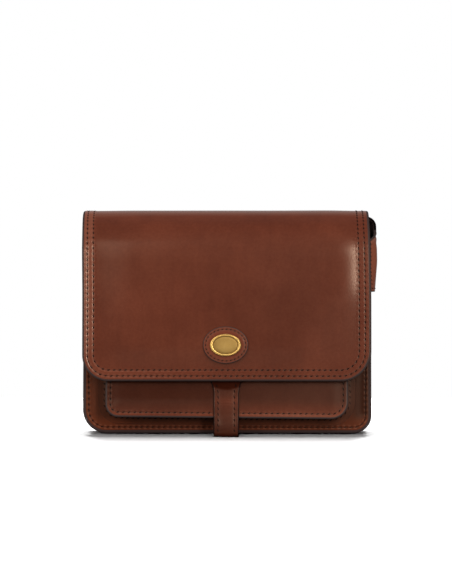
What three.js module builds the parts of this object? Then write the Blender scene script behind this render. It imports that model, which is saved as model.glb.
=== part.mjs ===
// A leather shoulder bag, closed and standing: a hollow body of two panels and a gusset, a raised pocket in
// front, a flap folded over the top, a closing strap that runs under the base, an oval badge and strap loops.
// Millimetres, +Z up, front towards -Y. The origin is on the floor, in the middle of the width and depth.
import * as THREE from "three";

// Body
const BODY_WIDTH = 245;
const BODY_CORNER = 20;
const BAG_DEPTH = 73;
const BAG_HEIGHT = 190.5;
const BACK_TOP = 172;
const FRONT_TOP = 160;
const FRONT_FOOT_Y = -14.8;
const FRONT_FOOT_Z = 2.7;
const FRONT_LEAN = 0.0825;
const GUSSET_TOP = 165;
const GUSSET_FLANGE = 7;

// Leather thicknesses, and the gap between pieces that are sewn together
const PANEL_LEATHER = 2.2;
const GUSSET_LEATHER = 2.0;
const FLAP_LEATHER = 3.0;
const POCKET_LEATHER = 2.0;
const POCKET_GUSSET_LEATHER = 1.6;
const STRAP_LEATHER = 2.2;
const LOOP_LEATHER = 2.4;
const SEAM_GAP = 0.3;

// Front pocket, measured on its outer face
const POCKET_WIDTH = 201.5;
const POCKET_FOOT = 16.3;
const POCKET_TOP = 126;
const POCKET_CORNER = 11;
const POCKET_FOOT_Y = -33.6;
const POCKET_LEAN = 0.16;
const POCKET_BASE_FLANGE = 7;
const POCKET_FACE_FLANGE = 8.5;
const POCKET_EDGE_OVERHANG = 1.2;

// Flap
const FLAP_WIDTH = 243;
const FLAP_CORNER = 21;
const FLAP_BACK_CORNER = 14;
const FLAP_BACK_HEM = 150;
const FLAP_FRONT_HEM_Y = -36;
const FLAP_FRONT_HEM_Z = 46.5;
const FLAP_TOP_FRONT_Y = -28.3;
const FLAP_BACK_FOLD = 18;
const FLAP_FRONT_FOLD = 45;
const FLAP_FRONT_BOW = 1.2;

// Closing strap
const STRAP_WIDTH = 20.5;
const STRAP_HEAD_WIDTH = 34;
const STRAP_HEAD_TIP = 4;
const STRAP_FLARE_FOOT = 36;
const STRAP_FLARE_TOP = 60;
const STRAP_TOP = 95;
const STRAP_BEND_Z = 14;
const STRAP_FOOT_Y = -35.9;
const STRAP_END_Y = 14;
const STRAP_KNEE_RADIUS = 30;
const STRAP_FOOT_RADIUS = 6;
const STUD_DIAMETER = 14;
const STUD_THICKNESS = 4.2;

// Badge: an oval leather patch and the cast oval plate on it, sewn a little left of the middle
const BADGE_X = -1;
const BADGE_HEIGHT = 77;
const PATCH_SIZE = { x: 38, y: 31, thickness: 2, bevel: 0.4 };
const PLATE_SIZE = { x: 26, y: 18 };
const PLATE_SECTION = [
  { fromEdge: 0.3, height: 0 },
  { fromEdge: 0, height: 0.5 },
  { fromEdge: 0.2, height: 1.5 },
  { fromEdge: 0.7, height: 2.2 },
  { fromEdge: 1.6, height: 2.2 },
  { fromEdge: 2.4, height: 1.1 },
];
const PLATE_CROWN = 1.25;

// Strap loops: how far from the middle plane each bulges, and where the outer side of its eye is
const LOOP_WIDTH = 23;
const LOOP_NECK = 14;
const LOOP_FOOT = 121.5;
const LOOP_BULGE = 147;
const LOOP_TOP = 185.5;
const LOOP_INNER_END = 146;
const LOOP_MIDDLE_Y = 16;
const LOOP_BULGE_RADIUS = 60;
const LOOP_INNER_RADIUS = 3;
const LOOP_EYE_FLAT = 3;
const LOOP_SHOULDER = { start: 42.5, end: 50.5 };
const LOOP_WRAP = { foot: 2.6, bulge: 4.5, run: 25 };
const LOOP_SIDES = [
  { name: "strap_loop_left", side: -1, bulge: 124.1, eyeOuter: 123.6 },
  { name: "strap_loop_right", side: 1, bulge: 129.2, eyeOuter: 127.6 },
];

// How far inside the panels' outline the middle of the gusset stands: it swells on the sides, most on
// the right, and folds in at the mouth.
const GUSSET_BOW = [
  { height: 0, left: 1.5, right: 1.5 },
  { height: 60, left: 1.6, right: 0.2 },
  { height: 122, left: 1.8, right: -0.9 },
  { height: 165, left: 12, right: 8.5 },
];

const BACK_FACE_Y = BAG_DEPTH / 2 - FLAP_LEATHER - SEAM_GAP;

// Finishes: the polished leather that shows most, the plainer leather of the body, and the badge's metal
const POLISHED_LEATHER = { color: 0x6a3626, roughness: 0.42, metalness: 0 };
const BODY_LEATHER = { color: 0x5a2c1e, roughness: 0.48, metalness: 0 };
const BRASS = { color: 0xc79a48, roughness: 0.32, metalness: 1 };

const smoothstep = THREE.MathUtils.smoothstep;
const lerp = THREE.MathUtils.lerp;

// The outer faces of the front panel and of the pocket lean back as straight lines.
function frontFaceY(z) {
  return FRONT_FOOT_Y + (z - FRONT_FOOT_Z) * FRONT_LEAN;
}

function pocketFaceY(z) {
  return POCKET_FOOT_Y + (z - POCKET_FOOT) * POCKET_LEAN;
}

// How much further along Y a wall of this thickness reaches when it leans.
function alongY(thickness, lean) {
  return thickness * Math.hypot(1, lean);
}

// A path of straight runs joined by arcs. At a distance along it, at() gives the point (a, b), the normal on
// its left (na, nb), which run that is and how much of it is covered. An arc belongs to the run before it.
function foldedPath(corners, radii) {
  const stretches = [];
  let from = corners[0];
  for (let i = 1; i < corners.length; i++) {
    const [a, b] = corners[i];
    const inward = new THREE.Vector2(a - corners[i - 1][0], b - corners[i - 1][1]).normalize();
    const radius = radii[i] ?? 0;
    let to = corners[i];
    let turn = 0;
    if (radius > 0) {
      const outward = new THREE.Vector2(corners[i + 1][0] - a, corners[i + 1][1] - b).normalize();
      turn = Math.atan2(inward.cross(outward), inward.dot(outward));
      const cut = radius * Math.tan(Math.abs(turn) / 2);
      to = [a - inward.x * cut, b - inward.y * cut];
    }
    const heading = Math.atan2(inward.y, inward.x);
    const length = Math.hypot(to[0] - from[0], to[1] - from[1]);
    stretches.push({ from, heading, length, turn: 0, run: i - 1 });
    from = to;
    if (radius > 0) {
      stretches.push({ from, heading, length: radius * Math.abs(turn), turn, radius, run: i - 1 });
      const chord = 2 * radius * Math.sin(Math.abs(turn) / 2);
      const along = heading + turn / 2;
      from = [from[0] + chord * Math.cos(along), from[1] + chord * Math.sin(along)];
    }
  }
  const total = stretches.reduce((sum, stretch) => sum + stretch.length, 0);
  function at(distance) {
    let rest = distance;
    let index = 0;
    while (index < stretches.length - 1 && rest > stretches[index].length) {
      rest -= stretches[index].length;
      index += 1;
    }
    const { from: [a, b], heading, length, turn, radius, run } = stretches[index];
    const angle = heading + (turn * rest) / length;
    const place = { na: -Math.sin(angle), nb: Math.cos(angle), run, share: 1 };
    if (turn === 0) {
      place.a = a + rest * Math.cos(heading);
      place.b = b + rest * Math.sin(heading);
      place.share = rest / length;
      return place;
    }
    const side = Math.sign(turn);
    place.a = a + side * radius * (Math.sin(angle) - Math.sin(heading));
    place.b = b - side * radius * (Math.cos(angle) - Math.cos(heading));
    return place;
  }
  // Distances of both ends, of every stretch's ends and of even steps round each arc.
  function stations(arcSteps, lineSteps) {
    const found = [0];
    let start = 0;
    for (const stretch of stretches) {
      const steps = stretch.turn === 0 ? lineSteps[stretch.run] : arcSteps;
      for (let i = 1; i <= steps; i++) found.push(start + (stretch.length * i) / steps);
      start += stretch.length;
    }
    return found;
  }
  return { at, stations, total };
}

// The closed solid between two grids of points with equal rows and columns: the two skins of a leather wall.
function leatherWall(outer, inner) {
  const rows = outer.length;
  const columns = outer[0].length;
  const positions = [...outer.flat(), ...inner.flat()].flatMap((p) => [p.x, p.y, p.z]);
  const skin = rows * columns;
  const index = [];
  const quad = (a, b, c, d) => index.push(a, b, c, a, c, d);
  const at = (row, column) => row * columns + column;
  for (let r = 0; r + 1 < rows; r++) {
    for (let c = 0; c + 1 < columns; c++) {
      quad(at(r, c), at(r, c + 1), at(r + 1, c + 1), at(r + 1, c));
      quad(skin + at(r, c), skin + at(r + 1, c), skin + at(r + 1, c + 1), skin + at(r, c + 1));
    }
  }
  const rim = [];
  for (let c = 0; c + 1 < columns; c++) rim.push(at(0, c));
  for (let r = 0; r + 1 < rows; r++) rim.push(at(r, columns - 1));
  for (let c = columns - 1; c > 0; c--) rim.push(at(rows - 1, c));
  for (let r = rows - 1; r > 0; r--) rim.push(at(r, 0));
  rim.forEach((here, i) => {
    const next = rim[(i + 1) % rim.length];
    quad(next, here, skin + here, skin + next);
  });
  const geometry = new THREE.BufferGeometry();
  geometry.setAttribute("position", new THREE.Float32BufferAttribute(positions, 3));
  geometry.setIndex(index);
  if (signedVolume(geometry) < 0) index.reverse();
  geometry.setIndex(index);
  geometry.computeVertexNormals();
  return geometry;
}

function signedVolume(geometry) {
  const position = geometry.getAttribute("position");
  const corner = (i) => new THREE.Vector3().fromBufferAttribute(position, geometry.index.getX(i));
  let volume = 0;
  for (let i = 0; i < geometry.index.count; i += 3) {
    volume += corner(i).dot(corner(i + 1).cross(corner(i + 2))) / 6;
  }
  return volume;
}

// Stations down the left side, round the foot and up the right side of a panel, each with its outward normal.
function sidesAndFoot({ width, foot, top, corner, sideSteps, cornerSteps, footSteps }) {
  const half = width / 2;
  const stations = [];
  const straight = (from, to, normal, steps) => {
    for (let i = 0; i < steps; i++) {
      const [x, z] = [lerp(from[0], to[0], i / steps), lerp(from[1], to[1], i / steps)];
      stations.push({ x, z, nx: normal[0], nz: normal[1] });
    }
  };
  const round = (x, z, start) => {
    for (let i = 0; i < cornerSteps; i++) {
      const angle = start + (i / cornerSteps) * (Math.PI / 2);
      const [nx, nz] = [Math.cos(angle), Math.sin(angle)];
      stations.push({ x: x + corner * nx, z: z + corner * nz, nx, nz });
    }
  };
  straight([-half, top], [-half, foot + corner], [-1, 0], sideSteps);
  round(-half + corner, foot + corner, Math.PI);
  straight([-half + corner, foot], [half - corner, foot], [0, -1], footSteps);
  round(half - corner, foot + corner, 1.5 * Math.PI);
  straight([half, foot + corner], [half, top], [1, 0], sideSteps);
  stations.push({ x: half, z: top, nx: 1, nz: 0 });
  return stations;
}

// A flat panel with round lower corners, cut from leather: its foot is at y = 0 of the pattern.
function panelGeometry(width, height, corner, thickness) {
  const half = width / 2;
  const pattern = new THREE.Shape();
  pattern.moveTo(-half, height);
  pattern.lineTo(-half, corner);
  pattern.absarc(-half + corner, corner, corner, Math.PI, 1.5 * Math.PI);
  pattern.lineTo(half - corner, 0);
  pattern.absarc(half - corner, corner, corner, 1.5 * Math.PI, 2 * Math.PI);
  pattern.lineTo(half, height);
  return new THREE.ExtrudeGeometry(pattern, { depth: thickness, bevelEnabled: false, curveSegments: 10 });
}

// Turns a piece modelled flat, facing +Z, so that it faces the front and leans back by that slope.
function faceFront(object, lean) {
  object.rotation.x = Math.PI / 2 - Math.atan(lean);
  return object;
}

// Moves a piece that faces the front so that its outer face, this thick, passes through (y, z).
function seatOuterFace(object, y, z, thickness, lean) {
  const slope = Math.atan(lean);
  object.position.set(0, y + thickness * Math.cos(slope), z - thickness * Math.sin(slope));
  return object;
}

function named(name, geometry, finish) {
  const mesh = new THREE.Mesh(geometry, new THREE.MeshStandardMaterial(finish));
  mesh.name = name;
  return mesh;
}

function makeBackPanel() {
  const geometry = panelGeometry(BODY_WIDTH, BACK_TOP, BODY_CORNER, PANEL_LEATHER);
  const mesh = faceFront(named("back_panel", geometry, BODY_LEATHER), 0);
  mesh.position.y = BACK_FACE_Y;
  return mesh;
}

function makeFrontPanel() {
  const height = (FRONT_TOP - FRONT_FOOT_Z) * Math.hypot(1, FRONT_LEAN);
  const geometry = panelGeometry(BODY_WIDTH, height, BODY_CORNER, PANEL_LEATHER);
  const mesh = faceFront(named("front_panel", geometry, BODY_LEATHER), FRONT_LEAN);
  return seatOuterFace(mesh, FRONT_FOOT_Y, FRONT_FOOT_Z, PANEL_LEATHER, FRONT_LEAN);
}

// How far inside the panels' outline the gusset's wall stands, at a height, a side and a share of its depth.
function gussetInset(z, side, depth) {
  const key = side < 0 ? "left" : "right";
  const upper = Math.max(1, GUSSET_BOW.findIndex((row) => row.height >= z));
  const [low, high] = [GUSSET_BOW[upper - 1], GUSSET_BOW[upper]];
  const bow = lerp(low[key], high[key], smoothstep(z, low.height, high.height));
  return lerp(GUSSET_FLANGE, bow, 1 - (2 * depth - 1) ** 2);
}

// One strip from mouth to mouth round the foot. Its edges turn outwards into flanges, sewn flush with the
// panels' edges, and the wall between them swells.
function makeGusset() {
  const wallSteps = 8;
  const stations = sidesAndFoot({
    width: BODY_WIDTH,
    foot: FRONT_FOOT_Z,
    top: GUSSET_TOP,
    corner: BODY_CORNER,
    sideSteps: 9,
    cornerSteps: 7,
    footSteps: 6,
  });
  const panelReach = alongY(PANEL_LEATHER, FRONT_LEAN) + SEAM_GAP;
  const backFlangeY = BACK_FACE_Y - PANEL_LEATHER - SEAM_GAP;
  const point = (station, inset, depth, skin) => {
    const z = station.z - station.nz * inset - FRONT_FOOT_Z * depth;
    const front = frontFaceY(z) + panelReach + skin;
    return new THREE.Vector3(station.x - station.nx * inset, lerp(front, backFlangeY - skin, depth), z);
  };
  const skinRow = (station, skin) => {
    const rise = GUSSET_LEATHER - skin;
    const row = [point(station, 0, 0, skin)];
    for (let i = 0; i <= wallSteps; i++) {
      const depth = i / wallSteps;
      row.push(point(station, gussetInset(station.z, station.x, depth) + rise, depth, skin));
    }
    row.push(point(station, 0, 1, skin));
    return row;
  };
  const outer = stations.map((station) => skinRow(station, GUSSET_LEATHER));
  const inner = stations.map((station) => skinRow(station, 0));
  return named("gusset", leatherWall(outer, inner), BODY_LEATHER);
}

// The pocket's wall: a base flange turned out onto the front panel, the wall itself, and a flange turned in
// behind the face.
function makePocketGusset() {
  const stations = sidesAndFoot({
    width: POCKET_WIDTH,
    foot: POCKET_FOOT,
    top: POCKET_TOP,
    corner: POCKET_CORNER,
    sideSteps: 5,
    cornerSteps: 6,
    footSteps: 4,
  });
  const behindFace = alongY(POCKET_LEATHER, POCKET_LEAN) + SEAM_GAP;
  const thickness = POCKET_GUSSET_LEATHER;
  const point = (station, inset, reach, yAt) => {
    const z = station.z - station.nz * inset;
    return new THREE.Vector3(station.x - station.nx * inset, yAt(z) + reach, z);
  };
  const skinRow = (station, skin) => {
    const wall = POCKET_EDGE_OVERHANG + thickness - skin;
    const onPanel = -SEAM_GAP - skin;
    const underFace = behindFace + thickness - skin;
    return [
      point(station, -POCKET_BASE_FLANGE, onPanel, frontFaceY),
      point(station, wall, onPanel, frontFaceY),
      point(station, wall, underFace, pocketFaceY),
      point(station, POCKET_FACE_FLANGE, underFace, pocketFaceY),
    ];
  };
  const outer = stations.map((station) => skinRow(station, thickness));
  const inner = stations.map((station) => skinRow(station, 0));
  return named("pocket_gusset", leatherWall(outer, inner), BODY_LEATHER);
}

function makePocketFace() {
  const height = (POCKET_TOP - POCKET_FOOT) * Math.hypot(1, POCKET_LEAN);
  const geometry = panelGeometry(POCKET_WIDTH, height, POCKET_CORNER, POCKET_LEATHER);
  const mesh = faceFront(named("pocket_face", geometry, POLISHED_LEATHER), POCKET_LEAN);
  return seatOuterFace(mesh, POCKET_FOOT_Y, POCKET_FOOT, POCKET_LEATHER, POCKET_LEAN);
}

// The flap's outer face in the plane of Y and Z, from its hem on the back, over the top, to its front hem.
const flapFold = foldedPath(
  [
    [BAG_DEPTH / 2, FLAP_BACK_HEM],
    [BAG_DEPTH / 2, BAG_HEIGHT],
    [FLAP_TOP_FRONT_Y, BAG_HEIGHT],
    [FLAP_FRONT_HEM_Y, FLAP_FRONT_HEM_Z],
  ],
  [0, FLAP_BACK_FOLD, FLAP_FRONT_FOLD],
);

// A point of the flap at a distance along its fold, this far under its outer face. The front run bows out.
function flapPoint(distance, x, under) {
  const frontRun = 2;
  const { a, b, na, nb, run, share } = flapFold.at(distance);
  const out = run === frontRun ? FLAP_FRONT_BOW * Math.sin(Math.PI * share) : 0;
  return new THREE.Vector3(x, a + na * (under - out), b + nb * (under - out));
}

// Half the width of a strip at a distance from its end, where the end's corners are round.
function roundedHalf(half, corner, fromEnd) {
  if (fromEnd >= corner) return half;
  return half - corner + Math.sqrt(Math.max(0, corner ** 2 - (corner - fromEnd) ** 2));
}

// Distances from a strip's end that step evenly round its corners.
function cornerStations(corner, steps) {
  return Array.from({ length: steps }, (_, i) => corner * (1 - Math.cos((i / steps) * (Math.PI / 2))));
}

function byDistance(distances) {
  return [...distances].sort((a, b) => a - b).filter((d, i, all) => i === 0 || d - all[i - 1] > 0.2);
}

function makeFlap() {
  const columns = 12;
  const foldStations = flapFold.stations(9, [2, 1, 10]);
  const hemStations = cornerStations(FLAP_CORNER, 6).map((d) => flapFold.total - d);
  const distances = byDistance([...foldStations, ...hemStations, ...cornerStations(FLAP_BACK_CORNER, 3)]);
  const skin = (under) =>
    distances.map((distance) => {
      const half = Math.min(
        roundedHalf(FLAP_WIDTH / 2, FLAP_CORNER, flapFold.total - distance),
        roundedHalf(FLAP_WIDTH / 2, FLAP_BACK_CORNER, distance),
      );
      const across = Array.from({ length: columns + 1 }, (_, i) => lerp(-half, half, i / columns));
      return across.map((x) => flapPoint(distance, x, under));
    });
  return named("flap", leatherWall(skin(0), skin(FLAP_LEATHER)), POLISHED_LEATHER);
}

// The closing strap: its head lies between pocket and flap, and it runs down the pocket and under the base.
function makeClosingStrap() {
  const proud = alongY(STRAP_LEATHER + SEAM_GAP, POCKET_LEAN);
  const path = foldedPath(
    [
      [pocketFaceY(STRAP_TOP) - proud, STRAP_TOP],
      [pocketFaceY(STRAP_BEND_Z) - proud, STRAP_BEND_Z],
      [STRAP_FOOT_Y, 0],
      [STRAP_END_Y, 0],
    ],
    [0, STRAP_KNEE_RADIUS, STRAP_FOOT_RADIUS],
  );
  const headCorner = STRAP_HEAD_WIDTH / 2;
  const distances = byDistance([...path.stations(5, [18, 1, 3]), ...cornerStations(headCorner, 6).slice(1)]);
  const onFloorRun = 2;
  const skin = (under) =>
    distances.map((distance) => {
      const { a, b, na, nb, run } = path.at(distance);
      const flare = run === onFloorRun ? 0 : smoothstep(b, STRAP_FLARE_FOOT, STRAP_FLARE_TOP);
      const width = lerp(STRAP_WIDTH, STRAP_HEAD_WIDTH, flare);
      const half = Math.max(STRAP_HEAD_TIP / 2, roundedHalf(width / 2, headCorner, distance));
      return [-1, 0, 1].map((side) => new THREE.Vector3(side * half, a + na * under, b + nb * under));
    });
  return named("closing_strap", leatherWall(skin(0), skin(STRAP_LEATHER)), POLISHED_LEATHER);
}

// The hidden clasp that holds the flap to the strap's head, behind the badge.
function makeClosureStud() {
  const geometry = new THREE.CylinderGeometry(STUD_DIAMETER / 2, STUD_DIAMETER / 2, STUD_THICKNESS, 24);
  geometry.rotateX(Math.PI / 2);
  const mesh = faceFront(named("closure_stud", geometry, BRASS), POCKET_LEAN);
  const proud = STRAP_LEATHER + 2 * SEAM_GAP + STUD_THICKNESS / 2;
  mesh.position.set(0, pocketFaceY(BADGE_HEIGHT) - alongY(proud, POCKET_LEAN), BADGE_HEIGHT);
  return mesh;
}

function ovalPatch({ x, y, thickness, bevel }) {
  const oval = new THREE.Shape();
  oval.absellipse(0, 0, x / 2, y / 2, 0, 2 * Math.PI);
  const geometry = new THREE.ExtrudeGeometry(oval, {
    depth: thickness - 2 * bevel,
    curveSegments: 24,
    bevelThickness: bevel,
    bevelSize: bevel,
    bevelOffset: -bevel,
    bevelSegments: 1,
  });
  return geometry.translate(0, 0, bevel);
}

// A cast oval plate: a round-topped rim about a sunken, bare field.
function ovalPlate({ x, y }) {
  const rim = PLATE_SECTION.map(({ fromEdge, height }) => new THREE.Vector2(x / 2 - fromEdge, height));
  const profile = [new THREE.Vector2(0, 0), ...rim, new THREE.Vector2(0, PLATE_CROWN)];
  const geometry = new THREE.LatheGeometry(profile, 48);
  return geometry.rotateX(Math.PI / 2).scale(1, y / x, 1);
}

// Both badge pieces, modelled flat in a group that is laid on the flap.
function makeBadge() {
  let distance = flapFold.total;
  while (flapPoint(distance, 0, 0).z < BADGE_HEIGHT) distance -= 0.25;
  const seat = flapPoint(distance, BADGE_X, -SEAM_GAP);
  const above = flapPoint(distance - 1, BADGE_X, -SEAM_GAP);
  const badge = new THREE.Group();
  faceFront(badge, (above.y - seat.y) / (above.z - seat.z));
  badge.position.copy(seat);
  const plate = named("badge_plate", ovalPlate(PLATE_SIZE), BRASS);
  plate.position.z = PATCH_SIZE.thickness + SEAM_GAP;
  badge.add(named("badge_patch", ovalPatch(PATCH_SIZE), POLISHED_LEATHER), plate);
  return badge;
}

// A strap loop: a wide sewn foot that wraps the swollen gusset, shoulders, and a neck that folds over into an
// eye and comes down against the gusset.
function makeStrapLoop({ name, side, bulge, eyeOuter }) {
  const neckShare = 0.5 + LOOP_NECK / 2 / (BACK_FACE_Y - frontFaceY(GUSSET_TOP) - 2 * PANEL_LEATHER);
  const gussetReach = (z) => {
    const inset = Math.min(gussetInset(z, side, 0.5), gussetInset(z, side, neckShare));
    return BODY_WIDTH / 2 + SEAM_GAP - inset;
  };
  const eyeInner = gussetReach(GUSSET_TOP) + SEAM_GAP;
  const eyeRadius = (eyeOuter - eyeInner - LOOP_EYE_FLAT) / 2;
  const path = foldedPath(
    [
      [gussetReach(LOOP_FOOT) + LOOP_LEATHER, LOOP_FOOT],
      [bulge, LOOP_BULGE],
      [eyeOuter, LOOP_TOP],
      [eyeInner, LOOP_TOP],
      [eyeInner, GUSSET_TOP],
      [gussetReach(LOOP_INNER_END) + SEAM_GAP, LOOP_INNER_END],
    ],
    [0, LOOP_BULGE_RADIUS, eyeRadius, eyeRadius, LOOP_INNER_RADIUS],
  );
  const { start, end } = LOOP_SHOULDER;
  const distances = byDistance([...path.stations(5, [3, 3, 1, 2, 2]), start, end]);
  const crown = 0.2;
  const across = [-1, -0.6, -crown, crown, 0.6, 1];
  const skin = (under) =>
    distances.map((distance) => {
      const { a, b, na, nb } = path.at(distance);
      const neck = THREE.MathUtils.clamp((distance - start) / (end - start), 0, 1);
      const half = lerp(LOOP_WIDTH, LOOP_NECK, neck) / 2;
      const wrap = lerp(LOOP_WRAP.foot, LOOP_WRAP.bulge, smoothstep(distance, 0, LOOP_WRAP.run));
      return across.map((share) => {
        const drop = (1 - neck) * wrap * (share ** 2 - crown ** 2);
        const x = side * (a + na * under - drop);
        return new THREE.Vector3(x, LOOP_MIDDLE_Y + share * half, b + nb * under);
      });
    });
  return named(name, leatherWall(skin(0), skin(LOOP_LEATHER)), POLISHED_LEATHER);
}

const bag = new THREE.Group();
bag.add(
  makeBackPanel(),
  makeFrontPanel(),
  makeGusset(),
  makePocketGusset(),
  makePocketFace(),
  makeFlap(),
  makeClosingStrap(),
  makeClosureStud(),
  makeBadge(),
  ...LOOP_SIDES.map(makeStrapLoop),
);

export default bag;
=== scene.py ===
"""A leather shoulder bag, closed and standing: sewn panels, stitching, painted edges and a cast badge.

Sizes are millimetres, as on a cutter's pattern, until a mesh is made in metres.
+Z is up, the front faces -Y, and the bag stands on the floor at the origin.
"""
import math

import bpy
import numpy as np
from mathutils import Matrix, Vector
from mathutils.geometry import delaunay_2d_cdt


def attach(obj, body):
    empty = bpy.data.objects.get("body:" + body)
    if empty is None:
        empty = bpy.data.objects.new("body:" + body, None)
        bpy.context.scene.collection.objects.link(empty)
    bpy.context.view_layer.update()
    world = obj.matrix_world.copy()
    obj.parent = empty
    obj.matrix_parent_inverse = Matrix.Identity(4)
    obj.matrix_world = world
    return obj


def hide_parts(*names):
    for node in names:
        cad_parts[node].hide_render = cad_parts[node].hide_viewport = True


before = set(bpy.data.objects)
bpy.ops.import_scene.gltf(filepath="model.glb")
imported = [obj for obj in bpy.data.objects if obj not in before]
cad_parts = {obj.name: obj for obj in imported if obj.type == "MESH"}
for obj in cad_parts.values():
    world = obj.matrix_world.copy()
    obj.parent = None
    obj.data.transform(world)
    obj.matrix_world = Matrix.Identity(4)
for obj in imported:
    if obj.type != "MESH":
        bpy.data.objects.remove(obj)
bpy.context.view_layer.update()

MM = 0.001

# Body
BODY_WIDTH = 245
BODY_CORNERS = (20, 15)
BAG_DEPTH = 73
BAG_HEIGHT = 190.5
BACK_TOP = 172
FRONT_TOP = 160
FRONT_FOOT_Y = -14.8
FRONT_FOOT_Z = 1.5
FRONT_LEAN = 0.0825
GUSSET_TOP = 165
GUSSET_FLANGE = 7
GUSSET_FLANGE_BEND = 3
GUSSET_COLUMNS = 15

# Leather thicknesses, and the gap between pieces that are sewn together
PANEL_LEATHER = 2.2
GUSSET_LEATHER = 2.0
FLAP_LEATHER = 3.0
POCKET_LEATHER = 2.0
POCKET_GUSSET_LEATHER = 1.6
STRAP_LEATHER = 2.2
LOOP_LEATHER = 2.4
SEAM_GAP = 0.3
BACK_FACE_Y = BAG_DEPTH / 2 - FLAP_LEATHER - SEAM_GAP

# Front pocket
POCKET_WIDTH = 204.5
POCKET_FOOT = 15.5
POCKET_SLANT = 0.0085
POCKET_TOP = 126
POCKET_CORNERS = (11, 14.5)
POCKET_FOOT_Y = -33.6
POCKET_LEAN = 0.16
POCKET_BASE_FLANGE = 7
POCKET_FACE_FLANGE = 8.5
POCKET_EDGE_OVERHANG = 1.2

# Flap
FLAP_WIDTH = 243
FLAP_CORNERS = (22, 25)
FLAP_BACK_CORNER = 14
FLAP_BACK_HEM = 150
FLAP_FRONT_HEM = (-36, 46.5)
FLAP_TOP_FRONT_Y = -28.3
FLAP_BACK_FOLD = 18
FLAP_FRONT_FOLD = 45
FLAP_FRONT_BOW = 1.2
FLAP_ROW_SHIFT = 0.7
FLAP_TOP_SHIFT = 0.9
FLAP_TOP_LEFT_SHIFT = 1.1

# Closing strap
STRAP_WIDTH = 21.1
STRAP_HEAD_WIDTH = 34
STRAP_FLARE_FOOT = 36
STRAP_FLARE_TOP = 60
STRAP_TOP = 95
STRAP_BEND_Z = 14
STRAP_X = -0.35
STRAP_LIFT = 0.15
STRAP_FOOT_Y = -45.0
STRAP_END_Y = 14
STRAP_KNEE_RADIUS = 30
STRAP_FOOT_RADIUS = 3
# How high the flap's shadow line lies on the strap, where painted shadow starts
STRAP_SHADOW_EDGE = 38.2

# Badge
BADGE_X = -0.5
BADGE_HEIGHT = 77
PATCH_WIDTH = 38
PATCH_HEIGHT = 31
PATCH_LEATHER = 2.0
PATCH_SINK = 0.3
PATCH_PUFF = 0.35
PLATE_LIFT = 0.1
PLATE_WIDTH = 26.5
PLATE_HEIGHT = 18.7

# Strap loops, from the sewn foot over the bulge to the eye
LOOP_WIDTH = 23
LOOP_NECK = 14
LOOP_FOOT = 120.9
LOOP_BULGE = 147
LOOP_TOP = 185.5
LOOP_INNER_END = 146
LOOP_MIDDLE_Y = 16
LOOP_BULGE_RADIUS = 60
LOOP_INNER_RADIUS = 3
LOOP_EYE_INNER_RADIUS = 3.5
LOOP_SHOULDER_START = 42.5
LOOP_SHOULDER_END = 50.5
LOOP_WRAP_FOOT = 2.6
LOOP_WRAP_BULGE = 6.2
LOOP_WRAP_RUN = 25
LOOP_TWIST = 0.5
LOOP_FRONT_WRAP = 1.6
LOOP_NECK_FILL = 1.15
LOOP_NECK_FILL_AT = 3.5
LOOP_NECK_FILL_RUN = 3
# Where painted shade begins over the neck and eye, and how far it takes to darken
LOOP_SHADE_AT = 8.5
LOOP_SHADE_RUN = 3
LOOP_FOOT_LIFT = 0.6
LOOP_TWIST_RUN = 6
LOOP_STEP = 0.8
LOOP_COLUMNS = 25

# How far from the middle plane each loop bulges, and where the outer side of its eye is
LOOP_SIDES = [
    {"name": "strap_loop_left", "side": -1, "bulge": 124.1, "eye_outer": 123.6},
    {"name": "strap_loop_right", "side": 1, "bulge": 128.5, "eye_outer": 127.6},
]

# How far inside the panels' edge the middle of the gusset stands, by height
GUSSET_BOW = [
    {"height": 0, "left": 1.5, "right": 1.5},
    {"height": 60, "left": 1.6, "right": 0.2},
    {"height": 122, "left": 1.8, "right": -0.9},
    {"height": 165, "left": 12, "right": 8.5},
]

# Sewing: rows of stitches by their distance from the edge, and the size and slant of a stitch
# Thread is laid a little above a strap's rows, and a panel's field starts a little inside its last row
FLAP_ROWS = (4.5, 9.5)
PANEL_ROW = 5.0
POCKET_ROW = 4.2
POCKET_BASE_ROW = 2.0
STRAP_ROW = 3.7
PATCH_ROW = 2.2
LOOP_ROW = 1.7
LOOP_FOOT_ROW = 3.0
STITCH_PITCH = 4.8
FINE_PITCH = 3.5
STITCH_LENGTH = 2.4
STITCH_THICKNESS = 0.7
STITCH_SLANT = math.radians(20)
THREAD_LIFT = 0.05
FIELD_CLEAR = 0.4

# How finely pieces are divided: cut edges, which may be measured from more coarsely, the bands round them,
# the rings of points inside the rows, fields and backs
EDGE_STEP = 0.6
EDGE_SKIP = 3
EDGE_BAND_STEPS = 6
FINE_BESIDE_ROW = 2
COARSE_RING = 4
FIELD_STEP = 4.0
BACK_STEP = 5.0
BACK_REACH = 3.0


def smoothstep(low, high, value):
    share = np.clip((value - low) / (high - low), 0, 1)
    return share * share * (3 - 2 * share)


def lerp(start, end, share):
    return start + (end - start) * share


def unit(vectors):
    return vectors / np.linalg.norm(vectors, axis=-1, keepdims=True)


def front_face_y(z):
    return FRONT_FOOT_Y + (z - FRONT_FOOT_Z) * FRONT_LEAN


def pocket_face_y(z):
    return POCKET_FOOT_Y + (z - POCKET_FOOT) * POCKET_LEAN


def along_y(thickness, lean):
    """How far along Y a leaning wall of this thickness reaches."""
    return thickness * math.hypot(1, lean)


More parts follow.
